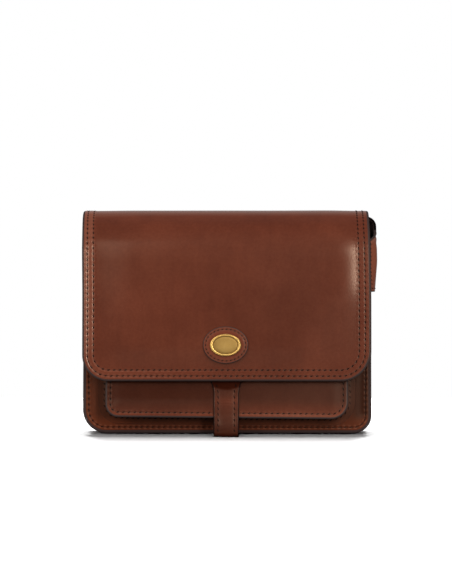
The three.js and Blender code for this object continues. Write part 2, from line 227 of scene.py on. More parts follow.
class Fold:
    """A path of straight runs joined by arcs, in a plane: at() gives points and the normals on its left."""

    TABLE_STEP = 0.2

    def __init__(self, corners, radii):
        corners = np.array(corners, float)
        self.distances, self.points, self.headings, self.run_starts = [0.0], [corners[0]], [], []
        for i in range(1, len(corners)):
            before = unit(corners[i] - corners[i - 1])
            heading = math.atan2(before[1], before[0])
            if not self.headings:
                self.headings.append(heading)
            self.run_starts.append(self.distances[-1])
            turn, cut, radius = 0.0, 0.0, radii.get(i, 0)
            if radius:
                after = unit(corners[i + 1] - corners[i])
                turn = math.atan2(before[0] * after[1] - before[1] * after[0], before @ after)
                cut = radius * math.tan(abs(turn) / 2)
            self.advance(heading, 0.0, np.linalg.norm(corners[i] - before * cut - self.points[-1]))
            if radius:
                self.advance(heading, turn, radius * abs(turn))
        self.total = self.distances[-1]

    def advance(self, heading, turn, length):
        count = max(1, math.ceil(length / self.TABLE_STEP))
        step = length / count
        for i in range(count):
            middle = heading + turn * (i + 0.5) / count
            self.points.append(self.points[-1] + step * np.array([math.cos(middle), math.sin(middle)]))
            self.distances.append(self.distances[-1] + step)
            self.headings.append(heading + turn * (i + 1) / count)

    def at(self, distance):
        a, b = (np.interp(distance, self.distances, values) for values in np.array(self.points).T)
        heading = np.interp(distance, self.distances, self.headings)
        return a, b, -np.sin(heading), np.cos(heading)


class Outline:
    """An edge drawn in straight runs and quarter turns: points, outward normals and bends (1 / radius)."""

    def __init__(self, step):
        self.step = step
        self.parts = []

    def straight(self, start, end, normal):
        start, end = np.array(start, float), np.array(end, float)
        count = math.ceil(np.linalg.norm(end - start) / self.step)
        points = lerp(start, end, np.arange(count)[:, None] / count)
        self.parts.append((points, np.tile(np.array(normal, float), (count, 1)), np.zeros(count)))

    def turn(self, middle, radius, start):
        count = math.ceil(radius * math.pi / 2 / self.step)
        angles = start + np.arange(count) / count * math.pi / 2
        out = np.stack([np.cos(angles), np.sin(angles)], axis=1)
        self.parts.append((np.array(middle) + radius * out, out, np.full(count, 1 / radius)))

    def sides_and_foot(self, width, foot, top, corners, beyond=0):
        """Down the left side, round the foot, and up the right side to this far beyond the top."""
        half = width / 2
        left, right = corners
        self.straight((-half, top), (-half, foot + left), (-1, 0))
        self.turn((-half + left, foot + left), left, math.pi)
        self.straight((-half + left, foot), (half - right, foot), (0, -1))
        self.turn((half - right, foot + right), right, 1.5 * math.pi)
        self.straight((half, foot + right), (half, top + beyond), (1, 0))

    def drawn(self):
        return [np.concatenate(part) for part in zip(*self.parts)]


class Pattern:
    """A piece of leather as it is cut: its closed edge as points, outward normals and bends (1 / radius)."""

    # How far in a ring may go as a share of a corner's radius, and how much nearer to the edge it may come
    INTO_CORNER = 0.85
    NEARER = 0.05

    def __init__(self, points, normals, bends):
        self.points = points
        self.normals = normals
        self.bends = bends
        self.steps = np.linalg.norm(np.roll(points, -1, axis=0) - points, axis=1)

    def ring(self, inset):
        return self.points - self.normals * inset

    def clear_of_edge(self, inset):
        """Which points of a ring this far in are no nearer to another part of the edge."""
        if inset * self.bends.max() < self.INTO_CORNER:
            return np.full(len(self.points), True)
        offsets = self.ring(inset)[:, None, :] - self.points[None, ::EDGE_SKIP, :]
        nearest = np.sqrt((offsets ** 2).sum(axis=2).min(axis=1))
        return (nearest > inset - self.NEARER) & (inset * self.bends < self.INTO_CORNER)

    def stitch_phases(self, inset, pitch):
        """For a row this far in, with whole stitches: how many lie before each point of the edge."""
        steps = self.steps * np.maximum(0.0, 1 - inset * self.bends)
        starts = np.cumsum(steps) - steps
        return starts / steps.sum() * round(steps.sum() / pitch)


def rounded_pattern(width, length, foot_corners, top_corner):
    """A panel with round corners, from the top of its left side down and round. Its foot is at v = 0."""
    edge = Outline(EDGE_STEP)
    across, up = width / 2 - top_corner, length - top_corner
    edge.sides_and_foot(width, 0, up, foot_corners)
    edge.turn((across, up), top_corner, 0)
    edge.straight((across, length), (-across, length), (0, 1))
    edge.turn((-across, up), top_corner, math.pi / 2)
    return Pattern(*edge.drawn())


def oval_pattern(width, height):
    """An oval about (0, 0)."""
    a, b = width / 2, height / 2
    count = math.ceil(math.pi * (a + b) / EDGE_STEP)
    angles = np.arange(count) / count * 2 * math.pi
    cos, sin = np.cos(angles), np.sin(angles)
    speed = np.hypot(a * sin, b * cos)
    points = np.stack([a * cos, b * sin], axis=1)
    normals = np.stack([b * cos, a * sin], axis=1) / speed[:, None]
    return Pattern(points, normals, a * b / speed ** 3)


class Skin:
    """Gathers the vertices and faces of one leather piece, with its masks.

    The masks are edge paint, flesh side, seams, and tone: above 0 darker, below 0 paler, mostly painted shade
    and painted light, partly the leather's own colour.
    """

    MASKS = ("paint", "flesh", "seam", "tone")

    def __init__(self):
        self.points, self.faces, self.count = [], [], 0
        self.masks = {name: [] for name in self.MASKS}

    def add(self, points, **masks):
        """Adds points, in millimetres, and returns their numbers."""
        flat = np.asarray(points, float).reshape(-1, 3)
        numbers = np.arange(self.count, self.count + len(flat))
        self.points.append(flat)
        self.count += len(flat)
        for name in self.MASKS:
            self.masks[name].append(np.broadcast_to(np.ravel(masks.get(name, 0.0)), len(flat)))
        return numbers

    def triangles(self, corners):
        self.faces.extend(np.asarray(corners).tolist())

    def band(self, first, second):
        """Closes the strip between two closed loops of as many vertices."""
        corners = [first, second, np.roll(second, -1), np.roll(first, -1)]
        self.faces.extend(np.stack(corners, axis=1).tolist())

    def grid(self, numbers):
        """Fills a grid of vertices with faces."""
        corners = [numbers[:-1, :-1], numbers[:-1, 1:], numbers[1:, 1:], numbers[1:, :-1]]
        self.faces.extend(np.stack([c.ravel() for c in corners], axis=1).tolist())

    def finish(self, node, slot):
        """Makes the piece, with its faces pointing out, and puts it in the node's place."""
        name = node + "_sewn"
        points = np.concatenate(self.points)
        first = np.array([face[:3] for face in self.faces])
        last = [[face[0], face[-2], face[-1]] for face in self.faces if len(face) == 4]
        corners = points[np.concatenate([first, np.array(last).reshape(-1, 3)])]
        volume = np.einsum("ij,ij->i", corners[:, 0], np.cross(corners[:, 1], corners[:, 2])).sum()
        faces = self.faces if volume > 0 else [face[::-1] for face in self.faces]
        mesh = bpy.data.meshes.new(name)
        mesh.from_pydata((points * MM).tolist(), [], faces)
        for mask, values in self.masks.items():
            attribute = mesh.attributes.new(mask, "FLOAT", "POINT")
            attribute.data.foreach_set("value", np.concatenate(values).astype(np.float32))
        take_place(finished_object(name, mesh, FINISHES[slot]), node)


def take_place(piece, node):
    """The piece stands for the node, which is hidden, and moves with the bag."""
    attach(piece, "root")
    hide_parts(node)


def finished_object(name, mesh, finish):
    mesh.shade_smooth()
    mesh.materials.append(finish)
    made = bpy.data.objects.new(name, mesh)
    bpy.context.scene.collection.objects.link(made)
    return made


class Seams:
    """Gathers every stitch: where its middle is, the way it runs, the way out of the leather and its size."""

    def __init__(self):
        self.middles, self.along, self.out, self.sizes = [], [], [], []

    def sew(self, points, normals, pitch, closed=False):
        """A row of stitches along a line of points, a whole number of them."""
        if closed:
            points = np.concatenate([points, points[:1]])
            normals = np.concatenate([normals, normals[:1]])
        lengths = np.linalg.norm(np.diff(points, axis=0), axis=1)
        distances = np.concatenate([[0.0], np.cumsum(lengths)])
        count = round(distances[-1] / pitch)
        middles = (np.arange(count) + 0.5) / count * distances[-1]
        reach = pitch / 4

        def place(at, values):
            return np.stack([np.interp(at, distances, column) for column in values.T], axis=1)

        out = unit(place(middles, normals))
        along = unit(place(middles + reach, points) - place(middles - reach, points))
        across = np.cross(out, along)
        self.middles.append(place(middles, points))
        self.along.append(along * math.cos(STITCH_SLANT) + across * math.sin(STITCH_SLANT))
        self.out.append(out)
        self.sizes.append(np.full(count, pitch / STITCH_PITCH))

    def gathered(self):
        return [np.concatenate(values) for values in (self.middles, self.along, self.out, self.sizes)]


seams = Seams()


# Waves by how many lie along u and along v, and where they start
SWAY_WAVES = [(1.0, 0.35, 0.4), (-0.62, 1.17, 2.1), (0.48, -1.61, 4.4), (1.83, 0.9, 1.3), (-1.37, -0.71, 5.2)]


def sway(u, v, size):
    """Slow, uneven waves of about this size, from -1 to 1: hide is never quite flat."""
    total = sum(np.sin((a * u + b * v) * 2 * math.pi / size + phase) for a, b, phase in SWAY_WAVES)
    return total / len(SWAY_WAVES)


# What sewing does to the leather's surface
SEAM_WIDTH = 0.6
SEAM_DEPTH = 0.3
LINE_WIDTH = 0.3
LINE_DEPTH = 0.06
LINE_SHADE = 0.55
# How much paler puckers are made where they stand proud: a painted highlight
PUCKER_HIGHLIGHT = 0.28
PUCKER_HEIGHT = 0.17
PUCKER_OFFSET = 1.15
PUCKER_WIDTH = 0.5
PILLOW_HEIGHT = 0.15
LOW_PILLOW_HEIGHT = PILLOW_HEIGHT / 3


def bell(value, width):
    return np.exp(-((value / width) ** 2))


def under_stitch(phase):
    """1 under a stitch, whose middle is at half a phase, and 0 on the bridge between two."""
    return smoothstep(-0.35, 0.35, -np.cos(2 * math.pi * phase))


def sewn_relief(inset, rows, phases, edge_round, pillow, pull):
    """The surface this far from the edge, beside rows of stitches whose thread is pulled more or less.

    Returns its height, how much of it is in a seam, and how much stands proud and gets a painted highlight.
    """
    height, seam, pucker_highlight = np.zeros((3, len(phases[0])))
    for row, phase in zip(rows, phases):
        stitch = under_stitch(phase)
        in_row = bell(inset - row, SEAM_WIDTH)
        in_line = bell(inset - row, LINE_WIDTH)
        pucker = pull * bell(abs(inset - row) - PUCKER_OFFSET, PUCKER_WIDTH) * (1 - stitch)
        dip = pull * (SEAM_DEPTH * in_row * stitch + LINE_DEPTH * in_line * (1 - stitch))
        height += PUCKER_HEIGHT * pucker - dip
        seam = np.maximum(seam, np.maximum(in_row * stitch, LINE_SHADE * in_line))
        pucker_highlight = np.maximum(pucker_highlight, pucker)
    ends = [edge_round, *rows]
    for start, end in zip(ends, ends[1:]):
        share = np.clip((inset - start) / (end - start), 0, 1)
        height += pillow * math.sin(math.pi * share) ** 2
    return height, seam, pucker_highlight


def spread(value, *place):
    """A value at each place: a number that is the same everywhere, or a function of the place."""
    return value(*place) if callable(value) else np.full_like(place[0], value)


# Rings of points follow a panel's edge: where they lie beside a row of stitches and beside the painted edge,
# the least and the most that is left between two, and how the gaps grow further in
BESIDE_ROW = (-1.9, -1.3, -0.9, -0.5, 0, 0.5, 0.9, 1.3, 1.9)
RING_BY_EDGE = 0.25
RING_CLEAR = 0.4
RING_LEAST = 0.2
RING_MOST = 0.8
RING_STEP = 0.6
RING_GAP = 1.0
RING_GAP_GROWTH = 1.25
RING_GAP_MOST = 2.5


def ring_insets(rows, reach, edge_round):
    """How far from the edge rings of points follow it: close beside stitches, wider further in."""
    beside = [row + offset for row in rows for offset in BESIDE_ROW]
    clear = [inset for inset in beside if inset > edge_round + RING_CLEAR]
    insets = sorted({edge_round, edge_round + RING_BY_EDGE, *clear})
    filled = insets[:1]
    for inset in insets[1:]:
        if inset - filled[-1] < RING_LEAST:
            continue
        for part in range(1, math.ceil((inset - filled[-1]) / RING_MOST)):
            step = RING_STEP if part == 1 else (inset - filled[-1]) / 2
            filled.append(filled[-1] + step)
        filled.append(inset)
    gap = RING_GAP
    while filled[-1] + gap < reach:
        filled.append(filled[-1] + gap)
        gap = min(gap * RING_GAP_GROWTH, RING_GAP_MOST)
    return sorted(filled)


def field_points(pattern, reach, step):
    """An even grid of points inside a pattern, all further than reach from its edge."""
    low, high = pattern.points.min(axis=0), pattern.points.max(axis=0)
    u, v = np.meshgrid(np.arange(low[0], high[0], step), np.arange(low[1], high[1], step))
    grid = np.stack([u.ravel(), v.ravel()], axis=1)
    edge, out = pattern.points[::EDGE_SKIP], pattern.normals[::EDGE_SKIP]
    offsets = grid[:, None, :] - edge[None, :, :]
    squares = (offsets ** 2).sum(axis=2)
    nearest = squares.argmin(axis=1)
    rows = np.arange(len(grid))
    inside = (offsets[rows, nearest] * out[nearest]).sum(axis=1) < 0
    depth = np.sqrt(squares[rows, nearest])
    keep = inside & (depth > reach)
    return grid[keep], depth[keep]


def triangulated(points, edge_count):
    """Triangles between points whose first edge_count are the closed edge."""
    edge = [(i, (i + 1) % edge_count) for i in range(edge_count)]
    made = delaunay_2d_cdt([Vector(p) for p in points], edge, [], 1, 1e-6)
    if len(made[0]) != len(points):
        raise ValueError("two points of a pattern coincide")
    return np.array(made[2])


def sewn_panel(
    node, slot, pattern, place, field, thickness, rows, reach, edge_round,
    pitch=STITCH_PITCH, pillow=PILLOW_HEIGHT, tone=0.0, pull=1.0,
):
    """A panel cut from a pattern, with its stitched rows, its field inside them and a painted round edge.

    place maps (u, v) to points and outward normals. field gives the height at u, v and a depth from the edge.
    pillow and pull are numbers or functions of u and v, and tone of the depth too. Rings go in up to reach.
    """
    skin = Skin()
    phases = [pattern.stitch_phases(row, pitch) for row in rows]
    edge_count = len(pattern.points)
    swell = spread(pillow, *pattern.points.T)
    tight = spread(pull, *pattern.points.T)
    parts = []
    for inset in ring_insets(rows, reach, edge_round):
        step = 1 if inset < rows[-1] + FINE_BESIDE_ROW else COARSE_RING
        keep = np.arange(0, edge_count, step)
        keep = keep[pattern.clear_of_edge(inset)[keep]]
        ring = pattern.ring(inset)[keep]
        depth = np.full(len(ring), inset)
        kept_phases = [phase[keep] for phase in phases]
        height, seam, pucker_highlight = sewn_relief(inset, rows, kept_phases, edge_round, swell[keep], tight[keep])
        paint = np.full(len(ring), float(inset == edge_round))
        parts.append((ring, depth, height + field(*ring.T, depth), seam, pucker_highlight, paint))
    middle, depth = field_points(pattern, reach + 0.6 * FIELD_STEP, FIELD_STEP)
    plain = np.zeros(len(middle))
    parts.append((middle, depth, field(*middle.T, depth), plain, plain, plain))
    flat, depth, height, seam, pucker_highlight, paint = (np.concatenate(part) for part in zip(*parts))
    points, normals = place(flat)
    # Puckers that stand proud get a painted highlight on top of the piece's tone
    tones = spread(tone, *flat.T, depth) - PUCKER_HIGHLIGHT * pucker_highlight
    numbers = skin.add(points + normals * height[:, None], seam=seam, paint=paint, tone=tones * (1 - paint))
    skin.triangles(numbers[triangulated(flat, edge_count)])

    loop = numbers[:edge_count]
    for i in range(1, EDGE_BAND_STEPS):
        angle = math.pi * i / EDGE_BAND_STEPS
        points, normals = place(pattern.ring(edge_round * (1 - math.sin(angle))))
        under = thickness / 2 * (1 - math.cos(angle))
        following = skin.add(points - normals * under, paint=1.0)
        skin.band(loop, following)
        loop = following

    back_middle, _ = field_points(pattern, BACK_REACH, BACK_STEP)
    back_flat = np.concatenate([pattern.ring(edge_round), back_middle])
    points, normals = place(back_flat)
    flesh = np.where(np.arange(len(back_flat)) < edge_count, 0.0, 1.0)
    back = skin.add(points - normals * thickness, flesh=flesh, paint=1 - flesh)
    skin.band(loop, back[:edge_count])
    skin.triangles(back[triangulated(back_flat, edge_count)][:, ::-1])

    under_stitches = [np.full(edge_count, 0.5) for _ in rows]
    for row in rows:
        ring = pattern.ring(row)
        points, normals = place(ring)
        dip, _, _ = sewn_relief(row, rows, under_stitches, edge_round, swell, tight)
        rise = dip + field(*ring.T, np.full(edge_count, row))
        seams.sew(points + normals * rise[:, None], normals, pitch, closed=True)
    skin.finish(node, slot)


def sewn_strip(node, slot, outer, inner, edge_round, inside_painted_as_shade=False, tone=0.0):
    """A strip between two grids of points with equal rows and columns, with a painted round edge, and if
    asked, an inside given the edge paint's dark colour as painted shade.
    """
    skin = Skin()
    rows, columns = outer.shape[:2]
    rim = [(0, c) for c in range(columns - 1)]
    rim += [(r, columns - 1) for r in range(rows - 1)]
    rim += [(rows - 1, c) for c in range(columns - 1, 0, -1)]
    rim += [(r, 0) for r in range(rows - 1, 0, -1)]
    inside = tuple(np.clip(rim, 1, [rows - 2, columns - 2]).T)
    rim = tuple(np.array(rim).T)
    at_rim = np.zeros((rows, columns))
    at_rim[rim] = 1.0
    tones = np.zeros_like(at_rim) + tone
    tones = np.where(at_rim > 0, np.maximum(tones, 0), tones)
    outer_numbers = skin.add(outer, paint=at_rim, tone=tones).reshape(rows, columns)
    inside_edge_paint_and_shade = np.ones_like(at_rim) if inside_painted_as_shade else at_rim
    inner_numbers = skin.add(inner, paint=inside_edge_paint_and_shade, flesh=1 - inside_edge_paint_and_shade).reshape(rows, columns)
    skin.grid(outer_numbers)
    skin.grid(inner_numbers[:, ::-1])

    out = unit(outer[rim] - outer[inside])
    loop = outer_numbers[rim]
    for i in range(1, EDGE_BAND_STEPS):
        angle = math.pi * i / EDGE_BAND_STEPS
        between = lerp(outer[rim], inner[rim], 0.5 - 0.5 * math.cos(angle))
        following = skin.add(between + out * (edge_round * math.sin(angle)), paint=1.0, tone=tones[rim])
        skin.band(following, loop)
        loop = following
    skin.band(inner_numbers[rim], loop)
    skin.finish(node, slot)


def grid_normals(grid):
    """Unit normals of a grid of points: along its columns crossed with along its rows."""
    return unit(np.cross(np.gradient(grid, axis=1), np.gradient(grid, axis=0)))


def rounded_columns(grid, passes):
    """Cuts the corners of each row of a grid, again and again, until they are round."""
    for _ in range(passes):
        start, end = grid[:, :-1], grid[:, 1:]
        cut = np.stack([lerp(start, end, 0.25), lerp(start, end, 0.75)], axis=2).reshape(len(grid), -1, 3)
        grid = np.concatenate([grid[:, :1], cut, grid[:, -1:]], axis=1)
    return grid


def operator(operation, reflected=False):
    """An operator between a node's output and a value or another output."""
    def combined(self, other):
        left, right = (other, self) if reflected else (self, other)
        return self.nodes.node("ShaderNodeMath", {"operation": operation}, {0: left, 1: right})
    return combined


class Socket:
    """An output of a node, so that node maths reads as an expression."""

    def __init__(self, nodes, socket):
        self.nodes = nodes
        self.socket = socket

    __add__, __radd__ = operator("ADD"), operator("ADD", reflected=True)
    __sub__, __rsub__ = operator("SUBTRACT"), operator("SUBTRACT", reflected=True)
    __mul__, __rmul__ = operator("MULTIPLY"), operator("MULTIPLY", reflected=True)

    def __neg__(self):
        return self * -1.0


class Nodes:
    """Adds nodes to a tree, each with its settings first and then the values or links of its sockets."""

    def __init__(self, tree):
        self.tree = tree
        tree.nodes.clear()

    def node(self, kind, settings=None, sockets=None, output=0):
        made = self.tree.nodes.new(kind)
        for key, value in (settings or {}).items():
            setattr(made, key, value)
        for key, value in (sockets or {}).items():
            if isinstance(value, Socket):
                self.tree.links.new(value.socket, made.inputs[key])
            else:
                made.inputs[key].default_value = value
        return Socket(self, made.outputs[output]) if made.outputs else made

    def mix(self, share, first, second, blend="MIX"):
        """Two colours mixed."""
        settings = {"data_type": "RGBA", "blend_type": blend}
        return self.node("ShaderNodeMix", settings, {0: share, 6: first, 7: second}, output=2)

    def ramp(self, value, low, high):
        """A value's rise from low to high, as 0 to 1."""
        sockets = {"Value": value, "From Min": low, "From Max": high}
        return self.node("ShaderNodeMapRange", {"interpolation_type": "SMOOTHSTEP"}, sockets)

    def mask(self, name):
        return self.node("ShaderNodeAttribute", {"attribute_name": name}, output="Fac")

    def noise(self, place, scale, detail=3.0, roughness=0.5):
        sockets = {"Vector": place, "Scale": scale, "Detail": detail, "Roughness": roughness}
        return self.node("ShaderNodeTexNoise", None, sockets)


def screen_colour(red, green, blue):
    """A colour as a screen shows it, 0 to 255, as the linear colour that a shader takes."""
    def linear(value):
        share = value / 255
        return share / 12.92 if share <= 0.04045 else ((share + 0.055) / 1.055) ** 2.4
    return (linear(red), linear(green), linear(blue), 1.0)


def new_material(name):
    material = bpy.data.materials.new(name)
    material.use_nodes = True
    return material, Nodes(material.node_tree)


def shader(nodes, **sockets):
    """A shader, by the names of its sockets with _ for a space."""
    spaced = {key.replace("_", " "): value for key, value in sockets.items()}
    return nodes.node("ShaderNodeBsdfPrincipled", None, spaced)


def shade(nodes, **sockets):
    """The one shader of a material."""
    nodes.node("ShaderNodeOutputMaterial", None, {"Surface": shader(nodes, **sockets)})


EDGE_PAINT = screen_colour(60, 48, 46)
FLESH_SIDE = screen_colour(110, 72, 52)
# A paler, greyer colour mixed in where tone is below 0: a painted sheen
PAINTED_SHEEN = screen_colour(112, 74, 58)
WAX_TINT = (1.0, 0.72, 0.52, 1)
FLECK_TINT = (0.25, 0.1, 0.06, 1)
SEAM_SHADE = (0.012, 0.004, 0.003, 1)
STREAK_TURN = (0, 0.35, 0)
STREAK_SCALE = (95, 60, 16)


def leather(name, deep, warm, roughness, wax):
    """Vegetable-tanned hide: cloudy dye, faint streaks, fine grain, darker seams, painted edges, and painted
    light and shade from its tone mask.
    """
    material, nodes = new_material(name)
    place = nodes.node("ShaderNodeTexCoord", output="Object")
    stretched = nodes.node(
        "ShaderNodeMapping", None, {"Vector": place, "Rotation": STREAK_TURN, "Scale": STREAK_SCALE}
    )
    clouds = nodes.noise(place, scale=24, detail=5.0, roughness=0.55)
    streaks = nodes.noise(stretched, scale=1.0, detail=4.0, roughness=0.6)
    grain = nodes.noise(place, scale=1500, detail=3.0, roughness=0.6)
    pebble = nodes.node("ShaderNodeTexVoronoi", {"feature": "SMOOTH_F1"}, {"Vector": place, "Scale": 900.0})
    dye = nodes.ramp(clouds * 0.7 + streaks * 0.3, 0.25, 0.75)
    colour = nodes.mix(dye, deep, warm)
    flecks = nodes.noise(place, scale=420, detail=4.0, roughness=0.65)
    colour = nodes.mix(nodes.ramp(flecks, 0.3, 0.7) * 0.22, colour, FLECK_TINT, "OVERLAY")
    # tone paints shade into the colour above 0 and light below 0, and the painted sheen is mixed in where it
    # paints light
    tone = nodes.mask("tone")
    colour = nodes.mix(nodes.ramp(-tone, 0.1, 0.35) * 0.3, colour, PAINTED_SHEEN)
    seam = nodes.mask("seam")
    paint = nodes.mask("paint")
    flesh = nodes.mask("flesh")
    colour = nodes.mix(seam * 0.85, colour, SEAM_SHADE)
    colour = nodes.mix(flesh, colour, FLESH_SIDE)
    colour = nodes.mix(paint, colour, EDGE_PAINT)
    colour = nodes.node("ShaderNodeVectorMath", {"operation": "SCALE"}, {0: colour, "Scale": 1.0 - tone})
    rough = roughness + 0.1 * clouds + 0.08 * grain
    rough = rough + flesh * 0.35 + seam * 0.12 + paint * 0.3
    height = grain * 0.6 + pebble * 0.5
    bump = nodes.node(
        "ShaderNodeBump", None, {"Strength": 0.22, "Distance": 0.00016, "Height": height * (1.0 - paint)}
    )
    waxed = shader(
        nodes, Base_Color=colour, Roughness=rough, Normal=bump,
        IOR=1.45, Specular_IOR_Level=wax, Specular_Tint=WAX_TINT,
    )
    dull = shader(nodes, Base_Color=colour, Roughness=0.9, Normal=bump, Specular_IOR_Level=0.0)
    # The wax's sheen is taken away where tone paints deep shade, and painted edges are mostly dull
    dulled = nodes.ramp(tone, 0.56, 0.7) + paint * 0.7
    surface = nodes.node("ShaderNodeMixShader", None, {0: dulled, 1: waxed, 2: dull})
    nodes.node("ShaderNodeOutputMaterial", None, {"Surface": surface})
    return material


def waxed_thread():
    """Twisted linen thread, a little darker than the leather."""
    material, nodes = new_material("waxed_thread")
    place = nodes.node("ShaderNodeTexCoord", output="Object")
    twist = nodes.noise(place, scale=2600, detail=2.0)
    shade(
        nodes,
        Base_Color=nodes.mix(twist, screen_colour(14, 6, 4), screen_colour(26, 12, 8)),
        Roughness=0.7 + 0.2 * twist,
        Specular_IOR_Level=0.1,
    )
    return material


def aged_brass():
    """Cast brass, polished where it stands proud and browned where it lies low."""
    material, nodes = new_material("aged_brass")
    place = nodes.node("ShaderNodeTexCoord", output="Object")
    cloud = nodes.noise(place, scale=300, detail=4.0, roughness=0.6)
    stipple = nodes.noise(place, scale=2200, detail=2.0)
    low = nodes.mask("low")
    bright = nodes.mix(cloud, screen_colour(236, 184, 98), screen_colour(248, 208, 126))
    dull = nodes.mix(cloud, screen_colour(112, 82, 40), screen_colour(140, 106, 56))
    bump = nodes.node("ShaderNodeBump", None, {"Strength": 0.35, "Distance": 0.0001, "Height": stipple})
    shade(
        nodes,
        Base_Color=nodes.mix(low, bright, dull),
        Metallic=1.0,
        Roughness=0.36 + 0.14 * low + 0.1 * stipple,
        Normal=bump,
    )
    return material


# The finish of each slot that sewn pieces take
FINISHES = {
    "polished_leather": leather(
        "polished_leather", screen_colour(88, 38, 23), screen_colour(104, 48, 30), roughness=0.15, wax=0.7
    ),
    "body_leather": leather(
        "body_leather", screen_colour(80, 34, 16), screen_colour(96, 42, 20), roughness=0.34, wax=0.28
    ),
}
thread = waxed_thread()
brass = aged_brass()


def leaning_place(foot_y, foot_z, lean, slant=0.0):
    """Lays a pattern on a face that leans back from its foot, which may slant down to the right."""
    slope = math.hypot(1, lean)

    def place(flat):
        up = flat[:, 1] / slope - slant * flat[:, 0]
        points = np.stack([flat[:, 0], foot_y + up * lean, foot_z + up], axis=1)
        return points, np.tile([0.0, -1 / slope, lean / slope], (len(flat), 1))

    return place


def back_place(flat):
    points = np.stack([-flat[:, 0], np.full(len(flat), BACK_FACE_Y), flat[:, 1]], axis=1)
    return points, np.tile([0.0, 1.0, 0.0], (len(flat), 1))


flap_fold = Fold(
    [
        (BAG_DEPTH / 2, FLAP_BACK_HEM),
        (BAG_DEPTH / 2, BAG_HEIGHT),
        (FLAP_TOP_FRONT_Y, BAG_HEIGHT),
        FLAP_FRONT_HEM,
    ],
    {1: FLAP_BACK_FOLD, 2: FLAP_FRONT_FOLD},
)


def flap_place(flat):
    """Lays the flap's pattern over the bag. Its front hem is at v = 0, and its front run bows out."""
    distance = flap_fold.total - flat[:, 1]
    y, z, inward_y, inward_z = flap_fold.at(distance)
    front_start = flap_fold.run_starts[2]
    share = np.clip((distance - front_start) / (flap_fold.total - front_start), 0, 1)
    out = FLAP_FRONT_BOW * np.sin(math.pi * share)
    u, v = flat[:, 0], flat[:, 1]
    to_right = smoothstep(-FLAP_WIDTH / 2, FLAP_WIDTH / 2, u)
    x = u - FLAP_ROW_SHIFT * to_right * smoothstep(0.5, 3.5, FLAP_WIDTH / 2 - np.abs(u))
    x = x - FLAP_TOP_SHIFT * smoothstep(60, 150, v)
    x = x - FLAP_TOP_LEFT_SHIFT * (1 - to_right) * smoothstep(120, 170, v)
    points = np.stack([x, y - inward_y * out, z - inward_z * out], axis=1)
    return points, np.stack([np.zeros(len(flat)), -inward_y, -inward_z], axis=1)


def panel_field(last_row, puff, run, waviness, wave_size):
    """The field inside the last row of stitches: it swells, and waves a little."""
    def field(u, v, depth):
        inside = smoothstep(last_row + FIELD_CLEAR, last_row + run, depth)
        return inside * (puff + waviness * sway(u, v, wave_size))
    return field


# The flap's field swells inside its rows: how high, and how far in from each side it takes to rise
FLAP_PUFF = 1.25
FLAP_RISE_LEFT = 34
FLAP_RISE_RIGHT = (45, 15)
FLAP_RISE_START = 1.2
FLAP_RISE_RIGHT_LEVELS = (50, 85)
FLAP_RISE_RIGHT_EASE = 0.4
FLAP_RISE_EASE_LEVELS = (105, 125)
FLAP_RISE_FOOT = 20
FLAP_RISE_BACK = 16
FLAP_PUFF_DROP = 0.75
FLAP_PUFF_LEVELS = (105, 160)
FLAP_WAVINESS = 0.35
FLAP_WAVE_SIZE = 150


def flap_field(u, v, depth):
    """How high the field stands: it rises slowly from the left and, higher up, steeply from the right."""
    inner = FLAP_ROWS[1] + FIELD_CLEAR
    half = FLAP_WIDTH / 2
    left = smoothstep(inner, inner + FLAP_RISE_LEFT, half + u)
    eased = FLAP_RISE_RIGHT_EASE * smoothstep(*FLAP_RISE_EASE_LEVELS, v)
    run = lerp(*FLAP_RISE_RIGHT, smoothstep(*FLAP_RISE_RIGHT_LEVELS, v) - eased)
    from_row = np.maximum(half - u - inner, 0)
    from_row = from_row - FLAP_RISE_START * (1 - np.exp(-from_row / FLAP_RISE_START))
    right = 1 - np.clip(1 - from_row / run, 0, 1) ** 2
    foot = smoothstep(inner, inner + FLAP_RISE_FOOT, v)
    over_top = 1 - FLAP_PUFF_DROP * smoothstep(*FLAP_PUFF_LEVELS, v)
    end = smoothstep(inner, inner + FLAP_RISE_BACK, flap_fold.total - v)
    puffed = left * right * foot * over_top * end
    return puffed * (FLAP_PUFF + FLAP_WAVINESS * sway(u, v, FLAP_WAVE_SIZE))


# Where the looks and the painted light and shade change: across the bag, up its lit foot, and on the flap at
# its hem, a patch and the top fold
ACROSS = (-60, 60)
LIT_FOOT = (9, 17)
FLAP_HEM = (15, 40)
FLAP_PATCH_AT = (42, 52)
FLAP_PATCH_SIZE = (48, 34)
FLAP_FOLD_START = (112, 138)
FLAP_FOLD_CROWN = (137, 162)
FLAP_FOLD_END = (175, 195)


def border(depth, row, fade=1.0):
    """1 outside a row of stitches, and 0 inside it."""
    return 1 - smoothstep(row - 0.5, row + fade, depth)


def flap_pillow(u, v):
    """How far the leather swells between the rows: most on the left."""
    return lerp(0.28, 0.04, smoothstep(*ACROSS, u))


def flap_painted_light_and_tone(u, v, depth):
    """Painted light: borders paler, most on the left, and the top fold paler as a painted highlight. Painted
    shade higher up the front. A darker patch low on the right, and the whole flap a little darker.
    """
    patch = bell(u - FLAP_PATCH_AT[0], FLAP_PATCH_SIZE[0]) * bell(v - FLAP_PATCH_AT[1], FLAP_PATCH_SIZE[1])
    crown = lerp(9.5, 7.0, smoothstep(-110, -50, u)) * smoothstep(*FLAP_FOLD_CROWN, v)
    fold = (smoothstep(*FLAP_FOLD_START, v) + crown) * (1 - smoothstep(*FLAP_FOLD_END, v))
    darkening = 0.09 + 0.16 * patch + 0.06 * smoothstep(60, 105, v)
    paler = lerp(0.4, 0.04, smoothstep(-60, 20, u)) * lerp(0.6, 1.0, smoothstep(*FLAP_HEM, v))
    return darkening - 0.08 * fold - paler * border(depth, FLAP_ROWS[1], fade=1.5)


